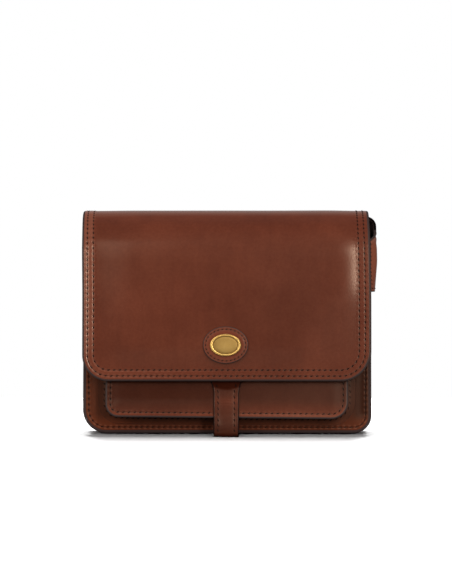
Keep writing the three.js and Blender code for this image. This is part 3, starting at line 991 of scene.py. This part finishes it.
def flap_pull(u, v):
    """Slack along the hem, and slackest on the right."""
    across = lerp(0.6, 0.3, smoothstep(40, 100, u))
    return across * lerp(0.7, 1.0, smoothstep(*FLAP_HEM, v))


def front_painted_light_and_shade(u, v, depth):
    """Painted shade: darker on the right than on the left, and between the two beside the pocket, where it
    shades the panel. Painted light: palest at the lit foot, and the border a little paler.
    """
    beside = 1 - smoothstep(1, 13, np.abs(u) - POCKET_WIDTH / 2)
    below = 1 - smoothstep(*LIT_FOOT, v)
    side = lerp(lerp(0.2, 0.64, smoothstep(-100, 100, u)), 0.42, beside)
    return lerp(side, -0.04, below) - 0.05 * border(depth, PANEL_ROW)


def pocket_pull(u, v):
    """Slack, and slackest on the right."""
    return lerp(0.45, 0.0, smoothstep(50, 90, u))


def pocket_painted_light_and_shade(u, v, depth):
    """Painted shadow, darkest where it lies under the flap, and painted light, paler towards its foot and its
    right and along its border near the foot.
    """
    under = smoothstep(0, 18, v)
    tone = lerp(0.26, 0.64, under) - lerp(0.23, 0.06, under) * smoothstep(*ACROSS, u)
    return tone - 0.3 * border(depth, POCKET_ROW) * (1 - under)


def make_panels():
    """The two body panels, the pocket's face and the flap."""
    front_length = (FRONT_TOP - FRONT_FOOT_Z) * math.hypot(1, FRONT_LEAN)
    top_corner = 3
    sewn_panel(
        "front_panel", "body_leather",
        rounded_pattern(BODY_WIDTH, front_length, BODY_CORNERS, top_corner),
        leaning_place(FRONT_FOOT_Y, FRONT_FOOT_Z, FRONT_LEAN),
        panel_field(PANEL_ROW, puff=0.45, run=8, waviness=0.1, wave_size=90),
        PANEL_LEATHER, (PANEL_ROW,), reach=14, edge_round=2.4, tone=front_painted_light_and_shade,
    )
    sewn_panel(
        "back_panel", "body_leather",
        rounded_pattern(BODY_WIDTH, BACK_TOP, BODY_CORNERS[::-1], top_corner),
        back_place,
        panel_field(PANEL_ROW, puff=0.8, run=14, waviness=0.35, wave_size=140),
        PANEL_LEATHER, (PANEL_ROW,), reach=22, edge_round=2.0,
    )
    pocket_length = (POCKET_TOP - POCKET_FOOT) * math.hypot(1, POCKET_LEAN)
    sewn_panel(
        "pocket_face", "polished_leather",
        rounded_pattern(POCKET_WIDTH, pocket_length, POCKET_CORNERS, top_corner),
        leaning_place(POCKET_FOOT_Y, POCKET_FOOT, POCKET_LEAN, POCKET_SLANT),
        panel_field(POCKET_ROW, puff=0.3, run=10, waviness=0.12, wave_size=110),
        POCKET_LEATHER, (POCKET_ROW,), reach=18, edge_round=1.4,
        pillow=LOW_PILLOW_HEIGHT, tone=pocket_painted_light_and_shade, pull=pocket_pull,
    )
    sewn_panel(
        "flap", "polished_leather",
        rounded_pattern(FLAP_WIDTH, flap_fold.total, FLAP_CORNERS, FLAP_BACK_CORNER),
        flap_place, flap_field,
        FLAP_LEATHER, FLAP_ROWS, reach=28, edge_round=1.6,
        pillow=flap_pillow, tone=flap_painted_light_and_tone, pull=flap_pull,
    )


def gusset_line(width, foot, top, corners, step):
    """x, z and outward normals along a gusset, down its left side, round its foot and up its right."""
    line = Outline(step)
    line.sides_and_foot(width, foot, top, corners, beyond=step)
    points, normals, _ = line.drawn()
    return *points.T, *normals.T


def gusset_inset(z, x, depth):
    """How far inside the panels' edge the gusset stands, by height, side and share of its depth."""
    heights = [row["height"] for row in GUSSET_BOW]
    bows = []
    for key in ("left", "right"):
        values = [row[key] for row in GUSSET_BOW]
        bow = np.full(np.shape(z), float(values[0]))
        for low, high, start, end in zip(heights, heights[1:], values, values[1:]):
            bow = bow + (end - start) * smoothstep(low, high, z)
        bows.append(bow)
    bow = np.where(np.asarray(x) < 0, bows[0], bows[1])
    return lerp(GUSSET_FLANGE, bow, 1 - (2 * depth - 1) ** 2)


def make_gusset():
    """One strip from mouth to mouth round the foot, with flanges turned out and sewn to both panels."""
    x, z, normal_x, normal_z = gusset_line(BODY_WIDTH, FRONT_FOOT_Z, GUSSET_TOP, BODY_CORNERS, 2.0)
    edge_round = 0.5
    panel_reach = along_y(PANEL_LEATHER, FRONT_LEAN) + SEAM_GAP
    back_y = BACK_FACE_Y - PANEL_LEATHER - SEAM_GAP

    def point(inset, depth, skin):
        at_z = z - normal_z * inset - FRONT_FOOT_Z * depth
        front = front_face_y(at_z) + panel_reach + skin
        return np.stack([x - normal_x * inset, lerp(front, back_y - skin, depth), at_z], axis=1)

    def skin_grid(skin):
        rise = GUSSET_LEATHER - skin
        flange = [edge_round, edge_round + 1.5, GUSSET_FLANGE - GUSSET_FLANGE_BEND]
        columns = [point(inset, 0.0, skin) for inset in flange]
        for depth in np.linspace(0, 1, GUSSET_COLUMNS):
            columns.append(point(gusset_inset(z, x, depth) + rise, depth, skin))
        columns += [point(inset, 1.0, skin) for inset in reversed(flange)]
        return rounded_columns(np.stack(columns, axis=1), 2)

    outer = skin_grid(GUSSET_LEATHER)
    sewn_strip("gusset", "body_leather", outer, skin_grid(0), edge_round)
    for depth, out in ((0.0, (0.0, 1.0, 0.0)), (1.0, (0.0, -1.0, 0.0))):
        row = point(PANEL_ROW, depth, GUSSET_LEATHER)
        seams.sew(row, np.tile(out, (len(row), 1)), STITCH_PITCH)


# The pocket's base flange: how far out from the pocket's edge, and the share of the leather left there
POCKET_BASE_PARING = [
    (POCKET_BASE_FLANGE - 0.3, 0.25),
    (POCKET_BASE_FLANGE - 2.5, 0.32),
    (POCKET_BASE_ROW, 0.42),
]


def make_pocket_gusset():
    """The pocket's wall. Its base flange is turned out and pared, its other edge is behind the face."""
    x, z, normal_x, normal_z = gusset_line(POCKET_WIDTH, POCKET_FOOT, POCKET_TOP, POCKET_CORNERS, 1.5)
    behind_face = along_y(POCKET_LEATHER, POCKET_LEAN) + SEAM_GAP
    thickness = POCKET_GUSSET_LEATHER

    def point(inset, reach, y_at):
        at_z = z - normal_z * inset - POCKET_SLANT * x
        return np.stack([x - normal_x * inset, y_at(at_z) + reach, at_z], axis=1)

    def skin_grid(skin):
        wall = POCKET_EDGE_OVERHANG + thickness - skin
        under_face = behind_face + thickness - skin
        foot = point(wall, -SEAM_GAP - skin, front_face_y)
        head = point(wall, under_face, pocket_face_y)
        columns = [point(-out, -SEAM_GAP - skin * left, front_face_y) for out, left in POCKET_BASE_PARING]
        columns += [foot, lerp(foot, head, 0.25), lerp(foot, head, 0.75), head]
        columns.append(point(POCKET_FACE_FLANGE, under_face, pocket_face_y))
        return rounded_columns(np.stack(columns, axis=1), 3)

    outer = skin_grid(thickness)
    # Painted shade up the wall above its foot, and painted light at the lit foot
    tone = lerp(-0.06, 0.42, smoothstep(*LIT_FOOT, outer[:, :, 2]))
    sewn_strip("pocket_gusset", "body_leather", outer, skin_grid(0), edge_round=0.15, tone=tone)
    reach = np.abs((outer[0, :, 0] - x[0]) * normal_x[0] - POCKET_BASE_ROW)
    column = int(reach[: outer.shape[1] // 2].argmin())
    seams.sew(outer[:, column], -grid_normals(outer)[:, column], STITCH_PITCH)


# How high the strap stands between its rows, how deep they lie, and its creases where it bends
STRAP_CROWN = 0.15
STRAP_SEAM_DEPTH = 0.12
STRAP_CREASE = 0.1
STRAP_CREASE_Z = 27.5
STRAP_CREASE_REACH = 4.0
STRAP_CROWN_RUN = 4

# The strap's colour in the open, with painted shade near the flap and painted shadow under it, painted shade
# at its foot and a painted highlight at its bend
STRAP_TONE = 0.35
STRAP_NEAR_FLAP_SHADE = 0.5
STRAP_UNDER_FLAP_SHADOW = 0.74
STRAP_FOOT_SHADE = 0.3
STRAP_BEND_HIGHLIGHT = 0.14

# How finely the strap is divided, along and across, and the half width its round head starts with
STRAP_HEAD_START = 0.12
STRAP_HEAD_STEPS = 14
STRAP_STEP = 0.7
STRAP_COLUMNS = 33
STRAP_TIP_HALF = 1.5


def make_closing_strap():
    """Its head lies between pocket and flap, and it runs down the pocket and under the base."""
    edge_round = 0.4
    proud = along_y(STRAP_LEATHER + SEAM_GAP, POCKET_LEAN)
    path = Fold(
        [
            (pocket_face_y(STRAP_TOP) - proud, STRAP_TOP),
            (pocket_face_y(STRAP_BEND_Z) - proud, STRAP_BEND_Z),
            (STRAP_FOOT_Y, STRAP_LIFT),
            (STRAP_END_Y, STRAP_LIFT),
        ],
        {1: STRAP_KNEE_RADIUS, 2: STRAP_FOOT_RADIUS},
    )
    head = STRAP_HEAD_WIDTH / 2
    round_head = head * (1 - np.cos(np.linspace(STRAP_HEAD_START, math.pi / 2, STRAP_HEAD_STEPS)))[:-1]
    distance = np.concatenate([round_head, np.arange(head, path.total, STRAP_STEP), [path.total]])
    y, z, inward_y, inward_z = path.at(distance)
    level = z[:, None]
    on_floor = distance > path.run_starts[2]
    flare = np.where(on_floor, 0, smoothstep(STRAP_FLARE_FOOT, STRAP_FLARE_TOP, z))
    half = lerp(STRAP_WIDTH, STRAP_HEAD_WIDTH, flare) / 2 - edge_round
    short = np.sqrt(np.maximum(0, head ** 2 - (head - distance) ** 2)) - edge_round
    half = np.where(distance < head, np.minimum(half, np.maximum(short, STRAP_TIP_HALF)), half)
    across = np.linspace(-1, 1, STRAP_COLUMNS) * half[:, None]
    from_edge = half[:, None] + edge_round - np.abs(across)
    inside = smoothstep(STRAP_ROW, STRAP_ROW + STRAP_CROWN_RUN, from_edge)
    ripple = np.sin(level * 2.7 + 0.5 * np.sin(across * 0.45))
    creases = STRAP_CREASE * bell(level - STRAP_CREASE_Z, STRAP_CREASE_REACH) * ripple * inside
    height = STRAP_CROWN * inside + creases - STRAP_SEAM_DEPTH * bell(from_edge - STRAP_ROW, SEAM_WIDTH)
    height[on_floor & (z < 1.0)] = 0.0

    def skin_grid(under):
        rise = under + np.zeros_like(across)
        rise_y, rise_z = inward_y[:, None] * rise, inward_z[:, None] * rise
        return np.stack([across + STRAP_X, y[:, None] + rise_y, level + rise_z], axis=2)

    # Painted shade rising towards the flap's shadow line, higher at the sides, painted shadow above it,
    # painted shade at the foot and a painted highlight at the bend
    shadow_edge = STRAP_SHADOW_EDGE + 0.02 * across ** 2
    tone = lerp(STRAP_TONE, STRAP_NEAR_FLAP_SHADE, smoothstep(shadow_edge - 9, shadow_edge - 3, level))
    tone = lerp(tone, STRAP_UNDER_FLAP_SHADOW, smoothstep(shadow_edge - 1.6, shadow_edge + 3.0, level))
    tone = tone + STRAP_FOOT_SHADE * (1 - smoothstep(2, 26, level))
    tone = tone - STRAP_BEND_HIGHLIGHT * bell(level - 30, 3.5)
    outer, inner = skin_grid(-height), skin_grid(STRAP_LEATHER)
    sewn_strip("closing_strap", "polished_leather", outer, inner, edge_round, tone=tone)
    sewn = (distance > head) & ~on_floor
    out = np.stack([np.zeros_like(y), -inward_y, -inward_z], axis=1)
    for side in (-1, 1):
        row_x = STRAP_X + side * (half + edge_round - STRAP_ROW)
        row = np.stack([row_x, y - inward_y * THREAD_LIFT, z - inward_z * THREAD_LIFT], axis=1)
        seams.sew(row[sewn], out[sewn], STITCH_PITCH)


def badge_frame():
    """Where the badge sits on the flap, and the ways across, up and out of it."""
    step = 0.25
    v = 0.0
    while flap_place(np.array([[0.0, v]]))[0][0, 2] < BADGE_HEIGHT:
        v += step
    points, _ = flap_place(np.array([[BADGE_X, v], [BADGE_X, v + 1.0]]))
    up = unit(points[1] - points[0])
    across = np.array([1.0, 0.0, 0.0])
    out = np.cross(across, up)
    rise = flap_field(np.array([BADGE_X]), np.array([v]), np.zeros(1))[0]
    return points[0] + out * max(SEAM_GAP, rise - PATCH_SINK), across, up, out


def make_badge():
    """The patch on the flap and the plate on the patch."""
    seat, across, up, out = badge_frame()

    def patch_place(flat):
        points = seat + out * PATCH_LEATHER + flat[:, :1] * across + flat[:, 1:] * up
        return points, np.tile(out, (len(flat), 1))

    def patch_field(u, v, depth):
        return PATCH_PUFF * smoothstep(0.5, 5, depth)

    sewn_panel(
        "badge_patch", "polished_leather", oval_pattern(PATCH_WIDTH, PATCH_HEIGHT),
        patch_place, patch_field,
        PATCH_LEATHER, (PATCH_ROW,), reach=9, edge_round=0.5,
        pitch=FINE_PITCH, pillow=LOW_PILLOW_HEIGHT, tone=-0.18, pull=0.15,
    )
    make_badge_plate(seat + out * (PATCH_LEATHER + PLATE_LIFT), across, up, out)


# The cast plate from its edge inwards: a round rim, a gutter and a low bare field, browned where it is low
PLATE_SECTION = [
    {"from_edge": 0.25, "height": 0.0, "low": 0.6},
    {"from_edge": 0.0, "height": 0.6, "low": 0.2},
    {"from_edge": 0.15, "height": 1.3, "low": 0.0},
    {"from_edge": 0.6, "height": 1.8, "low": 0.0},
    {"from_edge": 1.3, "height": 2.0, "low": 0.0},
    {"from_edge": 2.1, "height": 1.95, "low": 0.0},
    {"from_edge": 2.55, "height": 1.7, "low": 0.1},
    {"from_edge": 2.8, "height": 1.2, "low": 1.0},
    {"from_edge": 3.1, "height": 1.15, "low": 1.0},
    {"from_edge": 3.4, "height": 1.22, "low": 0.76},
    {"from_edge": 6.0, "height": 1.25, "low": 0.66},
    {"from_edge": 9.3, "height": 1.28, "low": 0.6},
]
PLATE_MIDDLE_HEIGHT = 1.3
PLATE_MIDDLE_LOW = 0.55

# The rope that runs round the plate's rim
ROPE_FROM_EDGE = 1.35
ROPE_HEIGHT = 1.72
ROPE_STRANDS = 80
ROPE_TWIST = math.radians(48)


def make_badge_plate(seat, across, up, out):
    """The cast plate, and the rope of laid strands on its rim."""
    count = 144
    angles = np.arange(count) / count * 2 * math.pi
    squash = PLATE_HEIGHT / PLATE_WIDTH

    def ring(from_edge, height):
        radius = PLATE_WIDTH / 2 - from_edge
        u, v = radius * np.cos(angles), radius * squash * np.sin(angles)
        return seat + u[:, None] * across + v[:, None] * up + height * out

    points = [ring(row["from_edge"], row["height"]) for row in PLATE_SECTION]
    low = [np.full(count, row["low"]) for row in PLATE_SECTION]
    middle = seat + PLATE_MIDDLE_HEIGHT * out
    rows = np.arange(len(points) * count).reshape(len(points), count)
    faces = []
    for first, second in zip(rows, rows[1:]):
        faces.extend(np.stack([first, np.roll(first, -1), np.roll(second, -1), second], axis=1).tolist())
    top = len(points) * count
    faces.extend([int(rows[-1][i]), int(rows[-1][(i + 1) % count]), top] for i in range(count))
    faces.append(rows[0][::-1].tolist())
    mesh = bpy.data.meshes.new("badge_plate_cast")
    mesh.from_pydata((np.concatenate([*points, middle[None]]) * MM).tolist(), [], faces)
    attribute = mesh.attributes.new("low", "FLOAT", "POINT")
    attribute.data.foreach_set("value", np.concatenate([*low, [PLATE_MIDDLE_LOW]]).astype(np.float32))
    plate = finished_object("badge_plate_cast", mesh, brass)
    take_place(plate, "badge_plate")

    turns = np.arange(ROPE_STRANDS) / ROPE_STRANDS * 2 * math.pi
    radius = PLATE_WIDTH / 2 - ROPE_FROM_EDGE
    cos, sin = np.cos(turns)[:, None], np.sin(turns)[:, None]
    middles = seat + radius * (cos * across + squash * sin * up) + ROPE_HEIGHT * out
    along = unit(squash * cos * up - sin * across)
    outs = np.tile(out, (ROPE_STRANDS, 1))
    twisted = along * math.cos(ROPE_TWIST) + np.cross(outs, along) * math.sin(ROPE_TWIST)
    rope = laid_threads(
        "badge_rope_rim", middles, twisted, outs, np.ones(ROPE_STRANDS), brass,
        length=2.0, thickness=0.6, rise=0.1, sink=0.3,
    )
    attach(rope, "root")


def thread_tree():
    """Geometry nodes that lay a short bowed thread at each point, turned as its attributes say."""
    tree = bpy.data.node_groups.new("laid_threads", "GeometryNodeTree")
    face = tree.interface
    face.new_socket("Geometry", in_out="INPUT", socket_type="NodeSocketGeometry")
    for name in ("Length", "Thickness", "Rise", "Sink"):
        face.new_socket(name, in_out="INPUT", socket_type="NodeSocketFloat")
    face.new_socket("Finish", in_out="INPUT", socket_type="NodeSocketMaterial")
    face.new_socket("Geometry", in_out="OUTPUT", socket_type="NodeSocketGeometry")
    nodes = Nodes(tree)
    given = tree.nodes.new("NodeGroupInput")
    value = {socket.name: Socket(nodes, socket) for socket in given.outputs if socket.name}

    def corner(x, z):
        return nodes.node("ShaderNodeCombineXYZ", None, {"X": x, "Z": z})

    half = value["Length"] * 0.5
    bow = nodes.node(
        "GeometryNodeCurveQuadraticBezier", None,
        {
            "Resolution": 5,
            "Start": corner(-half, -value["Sink"]),
            "Middle": corner(0.0, value["Rise"] * 2.0 + value["Sink"]),
            "End": corner(half, -value["Sink"]),
        },
    )
    circle = {"Resolution": 6, "Radius": value["Thickness"] * 0.5}
    section = nodes.node("GeometryNodeCurvePrimitiveCircle", None, circle)
    tube = {"Curve": bow, "Profile Curve": section, "Fill Caps": True}
    one = nodes.node("GeometryNodeCurveToMesh", None, tube)

    def named(name, kind):
        return nodes.node("GeometryNodeInputNamedAttribute", {"data_type": kind}, {"Name": name})

    along, out = named("along", "FLOAT_VECTOR"), named("out", "FLOAT_VECTOR")
    turned = nodes.node("FunctionNodeAlignRotationToVector", {"axis": "X"}, {"Vector": along})
    turned = nodes.node(
        "FunctionNodeAlignRotationToVector", {"axis": "Z", "pivot_axis": "X"},
        {"Rotation": turned, "Vector": out},
    )
    laid = nodes.node(
        "GeometryNodeInstanceOnPoints", None,
        {"Points": value["Geometry"], "Instance": one, "Rotation": turned, "Scale": named("size", "FLOAT")},
    )
    real = nodes.node("GeometryNodeRealizeInstances", None, {"Geometry": laid})
    smooth = nodes.node("GeometryNodeSetShadeSmooth", None, {"Geometry": real})
    dressed = nodes.node("GeometryNodeSetMaterial", None, {"Geometry": smooth, "Material": value["Finish"]})
    nodes.node("NodeGroupOutput", None, {0: dressed})
    return tree


def laid_threads(name, middles, along, out, sizes, finish, length, thickness, rise, sink):
    """One mesh of short bowed threads, laid at these points by the thread tree."""
    points = bpy.data.meshes.new(name + "_points")
    points.from_pydata((middles * MM).tolist(), [], [])
    for key, vectors in (("along", along), ("out", out)):
        attribute = points.attributes.new(key, "FLOAT_VECTOR", "POINT")
        attribute.data.foreach_set("vector", vectors.astype(np.float32).ravel())
    attribute = points.attributes.new("size", "FLOAT", "POINT")
    attribute.data.foreach_set("value", sizes.astype(np.float32))
    made = bpy.data.objects.new(name, points)
    bpy.context.scene.collection.objects.link(made)
    modifier = made.modifiers.new("laid_threads", "NODES")
    modifier.node_group = threads_tree
    settings = {
        "Length": length * MM, "Thickness": thickness * MM,
        "Rise": rise * MM, "Sink": sink * MM, "Finish": finish,
    }
    for socket in threads_tree.interface.items_tree:
        if socket.in_out == "INPUT" and socket.name in settings:
            modifier[socket.identifier] = settings[socket.name]
    evaluated = made.evaluated_get(bpy.context.evaluated_depsgraph_get())
    mesh = bpy.data.meshes.new_from_object(evaluated)
    made.modifiers.remove(modifier)
    made.data = mesh
    mesh.name = name
    bpy.data.meshes.remove(points)
    return made


threads_tree = thread_tree()


def make_strap_loop(name, side, bulge, eye_outer):
    """A wide sewn foot that wraps the gusset, shoulders, and a neck folded over into an eye."""
    edge_round = 0.6
    neck_share = 0.5 + LOOP_NECK / 2 / (BACK_FACE_Y - front_face_y(GUSSET_TOP) - 2 * PANEL_LEATHER)

    def gusset_reach(z):
        inset = min(float(gusset_inset(z, side, 0.5)), float(gusset_inset(z, side, neck_share)))
        return BODY_WIDTH / 2 + SEAM_GAP - inset

    eye_inner = gusset_reach(GUSSET_TOP) + SEAM_GAP
    eye_radius = eye_outer - eye_inner - LOOP_EYE_INNER_RADIUS - 0.5
    path = Fold(
        [
            (gusset_reach(LOOP_FOOT) + LOOP_LEATHER + LOOP_FOOT_LIFT, LOOP_FOOT),
            (bulge, LOOP_BULGE),
            (eye_outer, LOOP_TOP),
            (eye_inner, LOOP_TOP),
            (eye_inner, GUSSET_TOP),
            (gusset_reach(LOOP_INNER_END) + SEAM_GAP, LOOP_INNER_END),
        ],
        {1: LOOP_BULGE_RADIUS, 2: eye_radius, 3: LOOP_EYE_INNER_RADIUS, 4: LOOP_INNER_RADIUS},
    )

    def skin_points(distance, share, under):
        x, z, inward_x, inward_z = path.at(distance)
        neck = smoothstep(LOOP_SHOULDER_START, LOOP_SHOULDER_END, distance)
        half = lerp(LOOP_WIDTH, LOOP_NECK, neck) / 2 - edge_round
        wrap = lerp(LOOP_WRAP_FOOT, LOOP_WRAP_BULGE, smoothstep(0, LOOP_WRAP_RUN, distance))
        drop = (1 - neck) * (wrap * (share ** 2 - 0.04) + LOOP_FRONT_WRAP * np.minimum(share, 0) ** 2)
        filled = distance - LOOP_SHOULDER_START - LOOP_NECK_FILL_AT
        drop = drop - LOOP_NECK_FILL * bell(filled, LOOP_NECK_FILL_RUN)
        start, end = LOOP_SHOULDER_START - LOOP_TWIST_RUN, LOOP_SHOULDER_END + LOOP_TWIST_RUN
        eye = smoothstep(start, end, distance)
        eye = eye * (1 - smoothstep(path.run_starts[3], path.run_starts[4], distance))
        drop = drop + eye * LOOP_TWIST * (share * half + LOOP_NECK / 2)
        x = side * (x + inward_x * under - drop)
        return np.stack([x, LOOP_MIDDLE_Y + share * half, z + inward_z * under], axis=-1)

    distance = np.concatenate([np.arange(edge_round, path.total, LOOP_STEP), [path.total]])
    share = np.linspace(-1, 1, LOOP_COLUMNS)
    distances, shares = np.meshgrid(distance, share, indexing="ij")
    outer = skin_points(distances, shares, 0.0)
    # Painted light on the sewn foot and shoulders, painted shade over the neck and eye
    shade_from = LOOP_SHOULDER_START + LOOP_SHADE_AT + LOOP_SHADE_RUN * (1 + np.minimum(shares, 0))
    tone = lerp(-0.9, 0.9, smoothstep(shade_from, shade_from + LOOP_SHADE_RUN, distances))
    inner = skin_points(distances, shares, LOOP_LEATHER)
    # The loop's inside gets the edge paint's dark colour as painted shade
    sewn_strip(name, "polished_leather", outer, inner, edge_round, inside_painted_as_shade=True, tone=tone)

    in_share = 1 - LOOP_ROW / (LOOP_WIDTH / 2)
    up = np.linspace(LOOP_ROW, LOOP_SHOULDER_START, 40)
    over = np.linspace(-in_share, in_share, 30)
    lines = [
        (up[::-1], np.full_like(up, -in_share)),
        (np.full_like(over, LOOP_FOOT_ROW), over),
        (up, np.full_like(up, in_share)),
    ]
    step = 0.4
    for at, across in lines:
        line = skin_points(at, across, 0.0)
        along_path = skin_points(at + step, across, 0.0) - skin_points(at - step, across, 0.0)
        across_path = skin_points(at, across + 0.02, 0.0) - skin_points(at, across - 0.02, 0.0)
        seams.sew(line, unit(side * np.cross(across_path, along_path)), FINE_PITCH)


def make_stitching():
    """Every stitch of the bag, as one piece."""
    stitching = laid_threads(
        "stitching", *seams.gathered(), thread,
        length=STITCH_LENGTH, thickness=STITCH_THICKNESS, rise=0.25, sink=0.4,
    )
    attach(stitching, "root")


def dress_hidden_clasp():
    """The clasp keeps its shape from the frame, and gets the badge's metal."""
    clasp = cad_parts["closure_stud"]
    clasp.data.materials.clear()
    clasp.data.materials.append(brass)


# The picture: image size in pixels, the lens in pixels, and where the camera stands and looks, in metres
IMAGE_LONG_SIDE = 584
LENS_IN_PIXELS = 2360
SENSOR = 36
CAMERA_AT = (0.030, -2.0148, 0.152)
CAMERA_AIM = (-0.00085, -0.0148, 0.1212)


def aimed(thing, target):
    direction = Vector(target) - thing.location
    thing.rotation_euler = direction.to_track_quat("-Z", "Y").to_euler()


def make_camera():
    data = bpy.data.cameras.new("camera")
    data.sensor_width = SENSOR
    data.lens = SENSOR * LENS_IN_PIXELS / IMAGE_LONG_SIDE
    camera = bpy.data.objects.new("camera", data)
    camera.location = CAMERA_AT
    bpy.context.scene.collection.objects.link(camera)
    aimed(camera, CAMERA_AIM)
    bpy.context.scene.camera = camera


# Soft boxes: place and size in metres, power in watts, and use: "floor" lights only the floor,
# "bag" all but the floor, and "glint" shows in the leather as well
SOFT_BOXES = [
    {"name": "floor_left", "at": (-0.8, 2.54, 5.44), "size": (0.6, 6.4), "power": 420, "use": "floor"},
    {"name": "floor_right", "at": (0.8, 2.54, 5.44), "size": (0.6, 6.4), "power": 420, "use": "floor"},
    {"name": "floor_fill", "at": (0, -1.6, 0.35), "size": (1.5, 0.3), "power": 22, "use": "floor"},
    {"name": "over_box", "at": (0, -0.75, 1.5), "size": (1.4, 1.0), "power": 8.7, "use": "bag"},
    {"name": "front_box", "at": (0, -1.9, 0.72), "size": (0.8, 0.4), "power": 4.5, "use": "bag"},
    {"name": "left_box", "at": (-0.52, -1.4, 0.95), "size": (0.45, 1.3), "power": 2.6, "use": "glint"},
    {"name": "edge_box", "at": (-0.95, -1.1, 0.5), "size": (0.3, 0.7), "power": 6.0, "use": "glint"},
    {"name": "right_box", "at": (0.62, -1.3, 0.56), "size": (0.14, 1.1), "power": 11.5, "use": "glint"},
    {"name": "high_box", "at": (0.62, -1.3, 1.4), "size": (0.14, 0.6), "power": 1.2, "use": "glint"},
]
LIGHT_AIM = (0, 0, 0.1)

# The room's light: all round, from behind, from the front and from above
ROOM_DIM = 0.05
BACKDROP_GLOW = 0.38
FRONT_GLOW = 0.12
TOP_GLOW = 0.15

# The floor's tone where light bounces from it, and where the camera sees it
FLOOR_TONE = (0.2, 0.2, 0.2, 1)
FLOOR_SEEN = (0.92, 0.92, 0.92, 1)


def make_studio():
    """A white floor under soft boxes, in a dim room with a white distance."""
    side, front, back = 0.9, -1.1, 0.5
    mesh = bpy.data.meshes.new("floor")
    corners = [(-side, front, 0), (side, front, 0), (side, back, 0), (-side, back, 0)]
    mesh.from_pydata(corners, [], [(0, 1, 2, 3)])
    material, nodes = new_material("white_floor")
    seen = nodes.node("ShaderNodeLightPath", output="Is Camera Ray")
    tone = nodes.mix(seen, FLOOR_TONE, FLOOR_SEEN)
    shade(nodes, Base_Color=tone, Roughness=0.9, Specular_IOR_Level=0.0)
    floor = finished_object("floor", mesh, material)
    receivers = {}
    for lit, state in ((True, "INCLUDE"), (False, "EXCLUDE")):
        receivers[lit] = bpy.data.collections.new("floor_lit" if lit else "floor_unlit")
        receivers[lit].objects.link(floor)
        receivers[lit].collection_objects[0].light_linking.link_state = state
    for box in SOFT_BOXES:
        data = bpy.data.lights.new(box["name"], "AREA")
        data.shape = "RECTANGLE"
        data.size, data.size_y = box["size"]
        data.energy = box["power"]
        light = bpy.data.objects.new(box["name"], data)
        light.location = box["at"]
        light.visible_glossy = box["use"] == "glint"
        light.light_linking.receiver_collection = receivers[box["use"] == "floor"]
        bpy.context.scene.collection.objects.link(light)
        aimed(light, LIGHT_AIM)
    world = bpy.data.worlds.new("studio")
    bpy.context.scene.world = world
    world.use_nodes = True
    nodes = Nodes(world.node_tree)
    seen = nodes.node("ShaderNodeLightPath", output="Is Camera Ray")
    way = nodes.node("ShaderNodeTexCoord", output="Generated")
    behind = nodes.node("ShaderNodeSeparateXYZ", None, {0: way}, output="Y")
    above = nodes.node("ShaderNodeSeparateXYZ", None, {0: way}, output="Z")
    strength = ROOM_DIM + BACKDROP_GLOW * nodes.ramp(behind, 0.6, 1.0)
    strength = strength + FRONT_GLOW * nodes.ramp(-behind, 0.05, 0.95)
    strength = strength + TOP_GLOW * nodes.ramp(above, 0.6, 1.0)
    dim = nodes.node("ShaderNodeBackground", None, {"Color": (1, 1, 1, 1), "Strength": strength})
    white = nodes.node("ShaderNodeBackground", None, {"Color": (1, 1, 1, 1), "Strength": 1.0})
    both = nodes.node("ShaderNodeMixShader", None, {0: seen, 1: dim, 2: white})
    nodes.node("ShaderNodeOutputWorld", None, {"Surface": both})
    bpy.context.scene.view_settings.view_transform = "Standard"


make_camera()
make_studio()
make_panels()
make_gusset()
make_pocket_gusset()
make_closing_strap()
make_badge()
for loop in LOOP_SIDES:
    make_strap_loop(**loop)
make_stitching()
dress_hidden_clasp()
